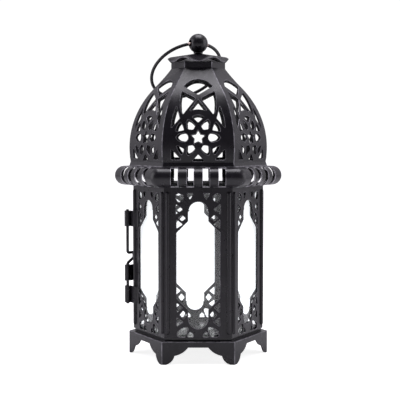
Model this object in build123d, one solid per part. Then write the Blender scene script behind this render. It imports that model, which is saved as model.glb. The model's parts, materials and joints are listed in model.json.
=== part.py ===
from build123d import *
import math
import os

# Hexagonal pierced-metal candle lantern, in millimetres.
# Origin: centre of the hexagon, on the plane that the six feet stand on.  +Z is up, the
# front face looks along -Y, and two of the hexagon's corners lie on the X axis.
# "Corner radius" is the distance from the axis to a hexagon's corner, and "flat" is the
# distance from the axis to the middle of one of its faces.

SIDES = 6
SECTOR = 360 / SIDES
FACE_NAMES = ["front", "front_right", "back_right", "back", "back_left", "front_left"]
DOOR_FACE = "back_left"
FLAT_RATIO = math.cos(math.radians(SECTOR / 2))
HALF_SIDE_PER_FLAT = math.tan(math.radians(SECTOR / 2))

# sheet and general clearances
SHEET = 0.6
SLOT_CLEARANCE = 0.15
MOVING_GAP = 0.35
WELD_GAP = 0.1

# base stand: a stamped hexagonal plinth on six corner feet
STAND_OVERHANG = 3.2
STAND_HEIGHT = 15.0
CUTOUT_TOP_Z = 11.2
CUTOUT_TOP_HALF = 6.5
CUSP_Z = 5.8
FOOT_HALF = 2.6
CUSP_FROM_CORNER = 8.3
FOOT_BULGE = 1.15
OGEE_SAG = 0.95

# body: five fixed side panels and the door
BODY_CORNER_R = 44.0
BODY_HEIGHT = 97.2
SHADOW_GAP = 1.8
BEAD_R = 1.3
BEAD_FROM_CORNER = 2.25
BEAD_END_MARGIN = 2.4
TAB_WIDTH = 5.0
TAB_X = 12.0

# pierced pattern of a side panel, measured from the panel's middle and its top or bottom
WINDOW_MARGIN = 8.3
ARCH_R = 6.2
ARCH_TOP_DROP = 9.0
ARCH_BOTTOM_RISE = 6.3
NECK_LENGTH = 6.2

# glass panes and the clips that hold them
PANE_THICKNESS = 1.5
PANE_SIDE_MARGIN = 4.5
PANE_END_MARGIN = 1.8
CLIP_HEIGHT = 6.0
CLIP_LAP = 1.2
CLIP_END_DISTANCE = 17.0

# floor tray that the candle stands on
TRAY_RIM_HEIGHT = 2.4
TRAY_GAP = 0.35

# top plate of the body and the bulging slotted gallery band above it
TOP_PLATE_RIM = 7.1
TOP_PLATE_OVERHANG = 0.6
BAND_R = 6.4
BAND_SHEET = 0.7
BAND_OVERHANG = 6.0
BAND_SEAT = 1.6
BAND_SLOT_WIDTH = 4.0
BAND_SLOT_PITCH = 10.1
BAND_SLOTS = 4

# dome: six petals, given by the flat of the outer skin at heights above the band
DOME_FOOT_OVERHANG = 1.6
DOME_LIP_FLARE = 0.9
DOME_LIP_HEIGHT = 3.0
DOME_BELLY_INSET = 0.4
DOME_BELLY_HEIGHT = 24.0
DOME_SHOULDER_FLAT = 25.2
DOME_SHOULDER_HEIGHT = 52.8
NECK_FLAT = 15.9
NECK_START_HEIGHT = 65.0
NECK_TOP_HEIGHT = 69.0
DOME_RING_HEIGHT = 3.6
PETAL_GAP = 0.05
ROSETTE_HEIGHT = 17.8
STAR_R = 4.4
STAR_INNER_R = 2.3

# crown disc, washer, finial ball, stem and nut
CROWN_CREST_R = 20.7
CROWN_TROUGH_R = 19.4
CROWN_CREST_DROP = 2.8
CROWN_TROUGH_DROP = 7.1
CROWN_RISE = 6.4
WASHER_R = 3.2
WASHER_THICKNESS = 0.8
BALL_R = 6.5
BALL_SEAT_DROP = 5.9
STEM_R = 1.5
STEM_IN_BALL = 2.4
STEM_BELOW_NUT = 0.8
NUT_ACROSS_FLATS = 5.5
NUT_HEIGHT = 2.4
HOLE_CLEARANCE = 0.1

# handle ring through the ball, leaning on the back-left of the dome
RING_R = 24.9
RING_WIRE_R = 1.1
RING_BORE_CLEARANCE = 0.2366
RING_AXIS_ANGLE = 27.5
RING_REST_GAP = 0.3

# door hardware on the left corner
KNUCKLE_R = 2.05
KNUCKLE_BEAD_GAP = 0.1141
PIN_R = 0.975
PIN_CLEARANCE = 0.05
UPPER_KNUCKLE_Z = (86.4, 97.0)
DOOR_KNUCKLE_Z = (49.2, 60.1)
LOWER_KNUCKLE_Z = (34.3, 45.8)
PIN_OVERHANG = 0.9
PIN_KINK_TOP_Z = 68.2
PIN_KINK_BOTTOM_Z = 64.6
PIN_KINK_REACH = 5.8
PIN_KINK_ANGLE = 48.0
PIN_RETURN_Z = 61.2
PIN_BEND_R = 1.4
LEAF_STEP_START = 4.7
LEAF_LENGTH = 8.4
CATCH_LENGTH = 16.0
CATCH_ABOVE_MIDDLE = 2.6
CATCH_PANE_GAP = 0.3
CATCH_ON_DOOR = 3.2

# heights and flats that follow from the sizes above
STAND_CORNER_R = BODY_CORNER_R + STAND_OVERHANG
STAND_FLAT = STAND_CORNER_R * FLAT_RATIO
BODY_FLAT = BODY_CORNER_R * FLAT_RATIO
PANEL_INNER_FLAT = BODY_FLAT - SHEET
WINDOW_HALF = BODY_CORNER_R / 2 - WINDOW_MARGIN
PANE_HALF_WIDTH = BODY_CORNER_R / 2 - PANE_SIDE_MARGIN
BODY_BOTTOM_Z = STAND_HEIGHT + SHADOW_GAP
BODY_TOP_Z = BODY_BOTTOM_Z + BODY_HEIGHT
BAND_BOTTOM_Z = BODY_TOP_Z + SHEET
BAND_CENTRE_Z = BAND_BOTTOM_Z + BAND_R
BAND_TOP_Z = BAND_CENTRE_Z + BAND_R
BAND_CENTRE_CORNER_R = BODY_CORNER_R + BAND_OVERHANG
BAND_CENTRE_FLAT = BAND_CENTRE_CORNER_R * FLAT_RATIO
BAND_INNER_FLAT = BODY_FLAT - BAND_SEAT
DOME_FOOT_FLAT = BODY_FLAT + DOME_FOOT_OVERHANG
DOME_LIP_FLAT = DOME_FOOT_FLAT + DOME_LIP_FLARE
DOME_BELLY_FLAT = DOME_FOOT_FLAT - DOME_BELLY_INSET
NECK_TOP_Z = BAND_TOP_Z + NECK_TOP_HEIGHT
CROWN_TOP_Z = NECK_TOP_Z + CROWN_RISE
BALL_BOTTOM_Z = CROWN_TOP_Z + WASHER_THICKNESS
BALL_CENTRE_Z = BALL_BOTTOM_Z + BALL_SEAT_DROP
RING_BORE_R = RING_WIRE_R + RING_R - math.sqrt(RING_R**2 - BALL_R**2) + RING_BORE_CLEARANCE
HINGE_FROM_CORNER = (KNUCKLE_R + BEAD_R + KNUCKLE_BEAD_GAP) / FLAT_RATIO
HINGE_X = -(BODY_CORNER_R + HINGE_FROM_CORNER)
CATCH_BOTTOM_Z = (BODY_BOTTOM_Z + BODY_TOP_Z - CATCH_LENGTH) / 2 + CATCH_ABOVE_MIDDLE


def polygon(points):
    """A flat face bounded by straight lines between the points."""
    return make_face(Polyline(*points, close=True))


def hexagon(corner_radius):
    """A hexagon with two corners on the X axis."""
    angles = [math.radians(SECTOR * k) for k in range(SIDES)]
    return polygon([(corner_radius * math.cos(a), corner_radius * math.sin(a)) for a in angles])


def hex_prism(corner_radius, low_z, high_z):
    """A hexagonal prism between two heights."""
    return Pos(0, 0, low_z) * extrude(hexagon(corner_radius), amount=high_z - low_z)


def hex_tube(outer_flat, inner_flat, low_z, high_z):
    """An upright hexagonal hoop between two heights."""
    outer = hex_prism(outer_flat / FLAT_RATIO, low_z, high_z)
    return outer - hex_prism(inner_flat / FLAT_RATIO, low_z, high_z)


def front_prism(face, low_flat, high_flat):
    """Push a face drawn as (x, z) straight out through the front, between two flats."""
    return extrude(Plane.XZ.offset(low_flat) * face, amount=high_flat - low_flat)


def front_bar(face, half_length):
    """Draw out a section given as (-flat, z) along the front face, both ways from its middle."""
    return extrude(Plane.YZ * face, amount=half_length, both=True)


def front_sector(corner_radius, low_z, high_z, edge_gap=0.0):
    """The slice of a hexagon that lies behind the front face, less a gap at each edge."""
    half = math.radians(SECTOR / 2)
    tip = -edge_gap / math.sin(half)
    reach_y = -corner_radius + tip
    reach_x = corner_radius * math.tan(half)
    outline = polygon([(0, tip), (-reach_x, reach_y), (reach_x, reach_y)])
    return Pos(0, 0, low_z) * extrude(outline, amount=high_z - low_z)


def on_face(shape, index):
    """Turn a shape made on the front face to the face with this index."""
    return Rot(0, 0, SECTOR * index) * shape


def both_sides(face):
    """A face together with its mirror image about the panel's upright middle line."""
    return face + mirror(face, about=Plane.YZ)


# ---- base -------------------------------------------------------------------------------


def stand_cutout():
    """Outline of the opening between two feet: a flat top, two hollow curves, two round lobes."""
    half_side = STAND_CORNER_R / 2
    cusp = (half_side - CUSP_FROM_CORNER, CUSP_Z)
    shoulder = (CUTOUT_TOP_HALF, CUTOUT_TOP_Z)
    foot = (half_side - FOOT_HALF, 0)
    ogee_mid = ((shoulder[0] + cusp[0]) / 2 - OGEE_SAG / 2, (shoulder[1] + cusp[1]) / 2 - OGEE_SAG / 2)
    lobe_mid = ((cusp[0] + foot[0]) / 2 - FOOT_BULGE, (cusp[1] + foot[1]) / 2 - FOOT_BULGE / 2)
    right = [
        Line((0, CUTOUT_TOP_Z), shoulder),
        ThreePointArc(shoulder, ogee_mid, cusp),
        ThreePointArc(cusp, lobe_mid, foot),
        Line(foot, (foot[0], -SHEET)),
        Line((foot[0], -SHEET), (0, -SHEET)),
        Line((0, -SHEET), (0, CUTOUT_TOP_Z)),
    ]
    return both_sides(make_face(right))


def tab_slots(low_z, high_z):
    """The cutters for the slots that take the tabs of the five fixed side panels."""
    length = TAB_WIDTH + 2 * SLOT_CLEARANCE
    width = SHEET + 2 * SLOT_CLEARANCE
    middle = -(BODY_FLAT - SHEET / 2)
    cutters = []
    for index, name in enumerate(FACE_NAMES):
        if name != DOOR_FACE:
            for x in (-TAB_X, TAB_X):
                slot = Pos(x, middle, (low_z + high_z) / 2) * Box(length, width, high_z - low_z)
                cutters.append(on_face(slot, index))
    return cutters


def base_stand():
    """Hollow plinth with a flat top plate, a skirt, and cut-outs that leave six feet."""
    inner_r = (STAND_FLAT - SHEET) / FLAT_RATIO
    shell = hex_prism(STAND_CORNER_R, 0, STAND_HEIGHT)
    shell -= hex_prism(inner_r, -SHEET, STAND_HEIGHT - SHEET)
    cutout = stand_cutout()
    for index in range(SIDES):
        shell -= on_face(front_prism(cutout, STAND_FLAT - 3 * SHEET, STAND_FLAT + SHEET), index)
    for cutter in tab_slots(STAND_HEIGHT - 2 * SHEET, STAND_HEIGHT + SHEET):
        shell -= cutter
    return shell


def floor_tray():
    """Shallow hexagonal tray inside the body, which the candle stands on."""
    outer_flat = PANEL_INNER_FLAT - TRAY_GAP
    tray = hex_prism(outer_flat / FLAT_RATIO, STAND_HEIGHT, STAND_HEIGHT + TRAY_RIM_HEIGHT)
    hollow_r = (outer_flat - SHEET) / FLAT_RATIO
    return tray - hex_prism(hollow_r, STAND_HEIGHT + SHEET, STAND_HEIGHT + TRAY_RIM_HEIGHT)


# ---- side panels, door and glass ----------------------------------------------------------


def window_outline():
    """The tall main window: an arch at each end, short necks and 45 degree shoulders."""
    top = BODY_TOP_Z - ARCH_TOP_DROP
    bottom = BODY_BOTTOM_Z + ARCH_BOTTOM_RISE
    step = WINDOW_HALF - ARCH_R
    spring_top = top - ARCH_R
    spring_bottom = bottom + ARCH_R
    neck_top = spring_top - NECK_LENGTH
    neck_bottom = spring_bottom + NECK_LENGTH
    right = [
        ThreePointArc(
            (0, top),
            (ARCH_R * math.sin(math.pi / 4), spring_top + ARCH_R * math.cos(math.pi / 4)),
            (ARCH_R, spring_top),
        ),
        Line((ARCH_R, spring_top), (ARCH_R, neck_top)),
        Line((ARCH_R, neck_top), (WINDOW_HALF, neck_top - step)),
        Line((WINDOW_HALF, neck_top - step), (WINDOW_HALF, neck_bottom + step)),
        Line((WINDOW_HALF, neck_bottom + step), (ARCH_R, neck_bottom)),
        Line((ARCH_R, neck_bottom), (ARCH_R, spring_bottom)),
        ThreePointArc(
            (ARCH_R, spring_bottom),
            (ARCH_R * math.sin(math.pi / 4), spring_bottom - ARCH_R * math.cos(math.pi / 4)),
            (0, bottom),
        ),
        Line((0, bottom), (0, top)),
    ]
    return both_sides(make_face(right))


def corner_holes(edge_z, inward):
    """The small holes beside one end of the window; inward is -1 at the top and +1 below."""
    w = WINDOW_HALF
    outlines = [
        # petal in the corner, then the small one beside it
        [(w, 4.0), (w - 1.6, 4.0), (w - 4.4, 6.2), (w - 4.0, 8.4), (w - 1.4, 9.2), (w, 7.0)],
        [(w - 10.1, 3.7), (w - 6.8, 3.7), (w - 7.4, 6.0), (w - 9.2, 7.0)],
        # triangle against the margin, diamond, and the long triangle under the shoulder
        [(w, 10.9), (w, 16.5), (w - 3.2, 13.7)],
        [(w - 1.5, 19.3), (w - 3.5, 17.5), (w - 5.4, 19.3), (w - 3.5, 21.0)],
        [(w, 20.6), (w, 25.7), (w - 3.2, 23.4)],
    ]
    faces = []
    for outline in outlines:
        faces.append(both_sides(polygon([(x, edge_z + inward * depth) for x, depth in outline])))
    return faces


def panel_pattern():
    """Every opening of one side panel."""
    faces = [window_outline()]
    faces += corner_holes(BODY_TOP_Z, -1)
    faces += corner_holes(BODY_BOTTOM_Z - SHADOW_GAP - SHEET, 1)
    return faces


def bead(x):
    """Half-round upright bead pressed out of the sheet, with round ends."""
    low = BODY_BOTTOM_Z + BEAD_END_MARGIN + BEAD_R
    high = BODY_TOP_Z - BEAD_END_MARGIN - BEAD_R
    rod = Pos(x, -BODY_FLAT, (low + high) / 2) * Cylinder(BEAD_R, high - low)
    rod += Pos(x, -BODY_FLAT, low) * Sphere(BEAD_R)
    rod += Pos(x, -BODY_FLAT, high) * Sphere(BEAD_R)
    keep_depth = BEAD_R + SHEET / 2
    keep = Pos(x, -BODY_FLAT - keep_depth / 2 + SHEET / 2, (low + high) / 2)
    return rod & keep * Box(3 * BEAD_R, keep_depth, BODY_HEIGHT)


def bead_groove(x):
    """The hollow behind a bead."""
    low = BODY_BOTTOM_Z + BEAD_END_MARGIN + BEAD_R
    high = BODY_TOP_Z - BEAD_END_MARGIN - BEAD_R
    return Pos(x, -BODY_FLAT, (low + high) / 2) * Cylinder(BEAD_R - SHEET, high - low)


def side_panel(edge_gap, end_gap, with_tabs):
    """One pierced panel on the front face; the door has gaps all round and no tabs."""
    half = BODY_CORNER_R / 2
    height = BODY_HEIGHT - end_gap
    plate = Pos(0, -(BODY_FLAT - SHEET / 2), BODY_BOTTOM_Z + height / 2) * Box(2 * half, SHEET, height)
    plate &= front_sector(2 * BODY_CORNER_R, 0, BODY_TOP_Z, edge_gap)
    bead_x = half - BEAD_FROM_CORNER
    for x in (-bead_x, bead_x):
        plate = plate + bead(x) - bead_groove(x)
    for face in panel_pattern():
        plate -= front_prism(face, PANEL_INNER_FLAT - SHEET, BODY_FLAT + SHEET)
    if with_tabs:
        low_tab = SHADOW_GAP + 2 * SHEET
        high_tab = SHEET - WELD_GAP
        middle = -(BODY_FLAT - SHEET / 2)
        for x in (-TAB_X, TAB_X):
            plate += Pos(x, middle, BODY_BOTTOM_Z - low_tab / 2) * Box(TAB_WIDTH, SHEET, low_tab)
            plate += Pos(x, middle, BODY_TOP_Z + high_tab / 2) * Box(TAB_WIDTH, SHEET, high_tab)
    return plate


def glass_pane():
    """Clear pane that stands behind the front panel."""
    low = BODY_BOTTOM_Z + PANE_END_MARGIN
    high = BODY_TOP_Z - PANE_END_MARGIN
    middle = -(PANEL_INNER_FLAT - WELD_GAP - PANE_THICKNESS / 2)
    pane = Pos(0, middle, (low + high) / 2) * Box(2 * PANE_HALF_WIDTH, PANE_THICKNESS, high - low)
    return chamfer(pane.edges().filter_by(Axis.Z), SLOT_CLEARANCE)


def pane_clips():
    """Four small bent clips that lap over the side edges of the front pane."""
    side = PANE_HALF_WIDTH + WELD_GAP
    panel = PANEL_INNER_FLAT
    lap = PANEL_INNER_FLAT - 2 * WELD_GAP - PANE_THICKNESS
    section = polygon(
        [
            (side + 2 * CLIP_LAP, -panel),
            (side, -panel),
            (side, -lap),
            (side - CLIP_LAP, -lap),
            (side - CLIP_LAP, -(lap - SHEET)),
            (side + SHEET, -(lap - SHEET)),
            (side + SHEET, -(panel - SHEET)),
            (side + 2 * CLIP_LAP, -(panel - SHEET)),
        ]
    )
    clips = []
    for z in (BODY_BOTTOM_Z + CLIP_END_DISTANCE, BODY_TOP_Z - CLIP_END_DISTANCE - CLIP_HEIGHT):
        clip = Pos(0, 0, z) * extrude(section, amount=CLIP_HEIGHT)
        clips += [clip, mirror(clip, about=Plane.YZ)]
    return clips


# ---- top plate and gallery band -----------------------------------------------------------


def body_top_plate():
    """Flat ring on top of the panels, open in the middle for the heat."""
    corner_r = (BODY_FLAT + TOP_PLATE_OVERHANG) / FLAT_RATIO
    plate = hex_prism(corner_r, BODY_TOP_Z, BODY_TOP_Z + SHEET)
    plate -= Pos(0, 0, BODY_TOP_Z) * Cylinder(BODY_FLAT - TOP_PLATE_RIM, 4 * SHEET)
    for cutter in tab_slots(BODY_TOP_Z - SHEET, BODY_TOP_Z + 2 * SHEET):
        plate -= cutter
    return plate


def band_section():
    """Section of the band: a half-round bulge with a flat flange above and below."""
    c, z = -BAND_CENTRE_FLAT, BAND_CENTRE_Z
    inner_r = BAND_R - BAND_SHEET
    flange = -BAND_INNER_FLAT
    outline = [
        Line((flange, z + BAND_R), (c, z + BAND_R)),
        ThreePointArc((c, z + BAND_R), (c - BAND_R, z), (c, z - BAND_R)),
        Line((c, z - BAND_R), (flange, z - BAND_R)),
        Line((flange, z - BAND_R), (flange, z - inner_r)),
        Line((flange, z - inner_r), (c, z - inner_r)),
        ThreePointArc((c, z - inner_r), (c - inner_r, z), (c, z + inner_r)),
        Line((c, z + inner_r), (flange, z + inner_r)),
        Line((flange, z + inner_r), (flange, z + BAND_R)),
    ]
    return make_face(outline)


def gallery_band():
    """The bulging band round the foot of the dome, slotted into bars, four slots a side."""
    reach = BAND_CENTRE_CORNER_R + 2 * BAND_R
    side = front_bar(band_section(), reach) & front_sector(2 * reach, 0, BAND_TOP_Z + BAND_R)
    slot_depth = 2 * BAND_R
    slot_y = -(BAND_CENTRE_FLAT + BAND_SHEET + slot_depth / 2)
    for k in range(BAND_SLOTS):
        x = (k - (BAND_SLOTS - 1) / 2) * BAND_SLOT_PITCH
        side -= Pos(x, slot_y, BAND_CENTRE_Z) * Box(BAND_SLOT_WIDTH, slot_depth, 3 * BAND_R)
    band = side
    for index in range(1, SIDES):
        band += on_face(side, index)
    return band


# ---- dome ---------------------------------------------------------------------------------


def petal_line(inset):
    """Upright curve of a petal's middle as (-flat, z), moved inwards by the inset."""
    z = BAND_TOP_Z
    lip = (-(DOME_LIP_FLAT - inset), z)
    foot = (-(DOME_FOOT_FLAT - inset), z + DOME_LIP_HEIGHT)
    belly = (-(DOME_BELLY_FLAT - inset), z + DOME_BELLY_HEIGHT)
    slope = inset * math.sin(math.pi / 4)
    shoulder = (-(DOME_SHOULDER_FLAT - slope), z + DOME_SHOULDER_HEIGHT - slope)
    neck = (-(NECK_FLAT - inset), z + NECK_START_HEIGHT)
    top = (-(NECK_FLAT - inset), z + NECK_TOP_HEIGHT)
    dome = ThreePointArc(foot, belly, shoulder)
    flare = TangentArc(shoulder, neck, tangent=dome % 1)
    return [Line(lip, foot), dome, flare, Line(neck, top)], lip, top


def petal_blank():
    """One curved petal before piercing, cut to a sixth of the dome."""
    outer, outer_lip, outer_top = petal_line(0)
    inner, inner_lip, inner_top = petal_line(SHEET)
    section = make_face(outer + inner + [Line(outer_lip, inner_lip), Line(outer_top, inner_top)])
    blank = front_bar(section, DOME_LIP_FLAT)
    return blank & front_sector(2 * STAND_CORNER_R, BAND_TOP_Z, NECK_TOP_Z, PETAL_GAP)


def star(centre_z):
    """Five-pointed star, point up."""
    points = []
    for k in range(10):
        radius = STAR_R if k % 2 == 0 else STAR_INNER_R
        angle = math.radians(90 + 36 * k)
        points.append((radius * math.cos(angle), centre_z + radius * math.sin(angle)))
    return polygon(points)


def petal_pattern():
    """Every opening of one petal: a star in a rosette, and crossed straps under an arch."""
    c = BAND_TOP_Z + ROSETTE_HEIGHT
    mirrored_outlines = [
        # leaves beside the star, and the four around it
        [(6.6, 0), (9.3, 2.6), (13.9, 0), (9.3, -2.6)],
        [(2.2, 7.4), (6.5, 11.3), (6.9, 6.1), (3.4, 5.2)],
        [(2.2, -7.4), (6.5, -11.3), (6.9, -6.1), (3.4, -5.2)],
        # outer triangles of the rosette
        [(11.2, 9.3), (13.9, 4.2), (9.5, 4.8)],
        [(13.4, -5.3), (9.3, -7.5), (10.7, -10.5)],
        # corner triangles, side slits and the large kites beside the crossed straps
        [(17.0, -7.9), (17.0, -13.6), (11.7, -13.6)],
        [(13.7, 19.2), (16.9, 7.0), (12.0, 12.7)],
        [(2.0, 24.4), (9.6, 15.6), (11.3, 21.4), (10.7, 27.0)],
    ]
    faces = [star(c)]
    for outline in mirrored_outlines:
        faces.append(both_sides(polygon([(x, c + z) for x, z in outline])))
    faces.append(polygon([(0, c + 10.1), (3.4, c + 13.3), (0, c + 14.0), (-3.4, c + 13.3)]))
    faces.append(polygon([(0, c - 11.3), (3.1, c - 14.6), (-3.1, c - 14.6)]))
    faces.append(polygon([(0, c + 22.3), (4.7, c + 16.7), (0, c + 17.5), (-4.7, c + 16.7)]))
    arch = [
        ThreePointArc((-8.7, c + 32.1), (0, c + 37.6), (8.7, c + 32.1)),
        Line((8.7, c + 32.1), (0, c + 27.0)),
        Line((0, c + 27.0), (-8.7, c + 32.1)),
    ]
    faces.append(make_face(arch))
    return faces


def dome_petal():
    """One pierced petal of the dome, on the front face."""
    petal = petal_blank()
    for face in petal_pattern():
        petal -= front_prism(face, NECK_FLAT / 2, DOME_LIP_FLAT + SHEET)
    return petal


def dome_seat_ring():
    """Upright hexagonal hoop on the band that locates the foot of the dome."""
    outer_flat = DOME_FOOT_FLAT - SHEET - WELD_GAP
    return hex_tube(outer_flat, outer_flat - SHEET, BAND_TOP_Z, BAND_TOP_Z + DOME_RING_HEIGHT)


def dome_cap_plate():
    """Small plate that closes the neck of the dome and carries the finial's stem."""
    corner_r = (NECK_FLAT - SHEET - WELD_GAP) / FLAT_RATIO
    plate = hex_prism(corner_r, NECK_TOP_Z - SHEET, NECK_TOP_Z)
    return plate - Pos(0, 0, NECK_TOP_Z) * Cylinder(STEM_R + HOLE_CLEARANCE, 4 * SHEET)


# ---- crown, finial and handle ---------------------------------------------------------------


def crown_disc():
    """Thin disc whose edge waves up over the corners and down over the faces."""
    bore = STEM_R + HOLE_CLEARANCE
    sections = []
    for k in range(5):
        angle = SECTOR * (k / 4 - 0.5)
        wave = (1 + math.cos(math.radians(SIDES * angle))) / 2
        radius = CROWN_TROUGH_R + (CROWN_CREST_R - CROWN_TROUGH_R) * wave
        drop = CROWN_TROUGH_DROP + (CROWN_CREST_DROP - CROWN_TROUGH_DROP) * wave
        outline = polygon([(bore, 0), (radius, -drop), (radius, -drop - SHEET), (bore, -SHEET)])
        sections.append(Pos(0, 0, CROWN_TOP_Z) * Rot(0, 0, angle) * (Plane.XZ * outline))
    lobe = loft(sections)
    crown = lobe
    for index in range(1, SIDES):
        crown += on_face(lobe, index)
    return crown


def finial_washer():
    """Small washer between the crown and the ball."""
    washer = Cylinder(WASHER_R, WASHER_THICKNESS) - Cylinder(STEM_R + HOLE_CLEARANCE, WASHER_THICKNESS)
    return Pos(0, 0, CROWN_TOP_Z + WASHER_THICKNESS / 2) * washer


def finial_ball():
    """Ball with a flat seat, a blind hole for the stem and a cross bore for the ring."""
    ball = Sphere(BALL_R)
    seat_cut = BALL_R
    ball -= Pos(0, 0, -BALL_SEAT_DROP - seat_cut / 2) * Box(2 * BALL_R, 2 * BALL_R, seat_cut)
    hole_depth = STEM_IN_BALL + WELD_GAP
    ball -= Pos(0, 0, -BALL_SEAT_DROP + hole_depth / 2) * Cylinder(STEM_R + HOLE_CLEARANCE, hole_depth)
    ball -= Rot(0, 0, RING_AXIS_ANGLE) * Rot(0, 90, 0) * Cylinder(RING_BORE_R, 3 * BALL_R)
    return Pos(0, 0, BALL_CENTRE_Z) * ball


def finial_stem():
    """Stem from the nut under the cap plate up into the ball."""
    low = NECK_TOP_Z - SHEET - NUT_HEIGHT - STEM_BELOW_NUT
    high = BALL_BOTTOM_Z + STEM_IN_BALL
    return Pos(0, 0, (low + high) / 2) * Cylinder(STEM_R, high - low)


def finial_nut():
    """Hexagon nut that pulls the ball, washer and crown down onto the cap plate."""
    high = NECK_TOP_Z - SHEET
    nut = hex_prism(NUT_ACROSS_FLATS / 2 / FLAT_RATIO, high - NUT_HEIGHT, high)
    return nut - Pos(0, 0, high - NUT_HEIGHT / 2) * Cylinder(STEM_R + HOLE_CLEARANCE, NUT_HEIGHT)


def leaning_ring(lean_degrees):
    """The wire ring through the ball, leaning out to the back-left by this angle from hanging."""
    turn = math.radians(RING_AXIS_ANGLE)
    lean = math.radians(lean_degrees)
    axis = Vector(math.cos(turn), math.sin(turn), 0)
    across = Vector(-math.sin(turn), math.cos(turn), 0)
    fall = across * math.sin(lean) - Vector(0, 0, 1) * math.cos(lean)
    centre = Vector(0, 0, BALL_CENTRE_Z) + fall * RING_R
    return Plane(origin=centre, x_dir=axis, z_dir=axis.cross(fall)) * Torus(RING_R, RING_WIRE_R)


def handle_ring(rests_on):
    """The ring at rest: it leans out just far enough to clear the pieces that it lies against."""
    lean = 30.0
    ring = leaning_ring(lean)
    while min(ring.distance_to(piece) for piece in rests_on) < RING_REST_GAP and lean < 90:
        lean += 1.0
        ring = leaning_ring(lean)
    print("ring leans out by", lean, "degrees")
    return ring


# ---- door hardware ----------------------------------------------------------------------------


def leaf_point(along, outward):
    """A point near the left corner, measured along and out from the front-left face."""
    turn = math.radians(SECTOR)
    x = -BODY_CORNER_R + along * math.cos(turn) - outward * math.sin(turn)
    y = -along * math.sin(turn) - outward * math.cos(turn)
    return (x, y)


def knuckle(z_range):
    """Rolled knuckle with its leaf stepped over the beads onto the front-left face."""
    low, high = z_range
    turn = math.radians(SECTOR)
    axis_along = -HINGE_FROM_CORNER * math.cos(turn)
    leaf_low = HINGE_FROM_CORNER * math.sin(turn) - KNUCKLE_R
    leaf = polygon(
        [
            leaf_point(axis_along, leaf_low + SHEET),
            leaf_point(LEAF_STEP_START + SHEET / 2, leaf_low + SHEET),
            leaf_point(LEAF_STEP_START + leaf_low + SHEET / 2, SHEET),
            leaf_point(LEAF_LENGTH, SHEET),
            leaf_point(LEAF_LENGTH, 0),
            leaf_point(LEAF_STEP_START + leaf_low, 0),
            leaf_point(LEAF_STEP_START, leaf_low),
            leaf_point(axis_along, leaf_low),
        ]
    )
    section = leaf + Pos(HINGE_X, 0) * Circle(KNUCKLE_R)
    section -= Pos(HINGE_X, 0) * Circle(PIN_R + PIN_CLEARANCE)
    return Pos(0, 0, low) * extrude(section, amount=high - low)


def hinge_pin():
    """Bent wire through the three knuckles, with a kink that lies beside the door's edge."""
    turn = math.radians(PIN_KINK_ANGLE)
    kink_x = HINGE_X + PIN_KINK_REACH * math.cos(turn)
    kink_y = PIN_KINK_REACH * math.sin(turn)
    top = (HINGE_X, 0, UPPER_KNUCKLE_Z[1] + PIN_OVERHANG)
    path = FilletPolyline(
        top,
        (HINGE_X, 0, PIN_KINK_TOP_Z),
        (kink_x, kink_y, PIN_KINK_TOP_Z),
        (kink_x, kink_y, PIN_KINK_BOTTOM_Z),
        (HINGE_X, 0, PIN_RETURN_Z),
        (HINGE_X, 0, LOWER_KNUCKLE_Z[0] - PIN_OVERHANG),
        radius=PIN_BEND_R,
    )
    return sweep(Plane(origin=top, z_dir=(0, 0, -1)) * Circle(PIN_R), path=path)


def door_catch():
    """Bent strip inside the back panel that the closed door's free edge springs against."""
    turn = math.radians(SECTOR)
    corner = (-BODY_CORNER_R * math.cos(turn), BODY_FLAT)

    def on_door(along, inward):
        x = corner[0] - along * math.cos(turn) + inward * math.sin(turn)
        y = corner[1] - along * math.sin(turn) - inward * math.cos(turn)
        return (x, y)

    panel_face = SHEET
    door_face = SHEET + MOVING_GAP
    on_panel = BODY_CORNER_R / 2 - PANE_HALF_WIDTH - CATCH_PANE_GAP
    bend = (2 * door_face - panel_face) * HALF_SIDE_PER_FLAT
    bend_in = (2 * (door_face + SHEET) - (panel_face + SHEET)) * HALF_SIDE_PER_FLAT
    strip = polygon(
        [
            (corner[0] + on_panel, corner[1] - panel_face),
            (corner[0] + bend, corner[1] - panel_face),
            on_door(CATCH_ON_DOOR, door_face),
            on_door(CATCH_ON_DOOR, door_face + SHEET),
            (corner[0] + bend_in, corner[1] - panel_face - SHEET),
            (corner[0] + on_panel, corner[1] - panel_face - SHEET),
        ]
    )
    return Pos(0, 0, CATCH_BOTTOM_Z) * extrude(strip, amount=CATCH_LENGTH)


# ---- write every piece ------------------------------------------------------------------------


def write(shape, node):
    """Write one node, from one shape or from a list of separate solids."""
    if isinstance(shape, list):
        shape = Compound(children=[solid for piece in shape for solid in piece.solids()])
    export_step(shape, "parts/" + node + ".step")


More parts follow.
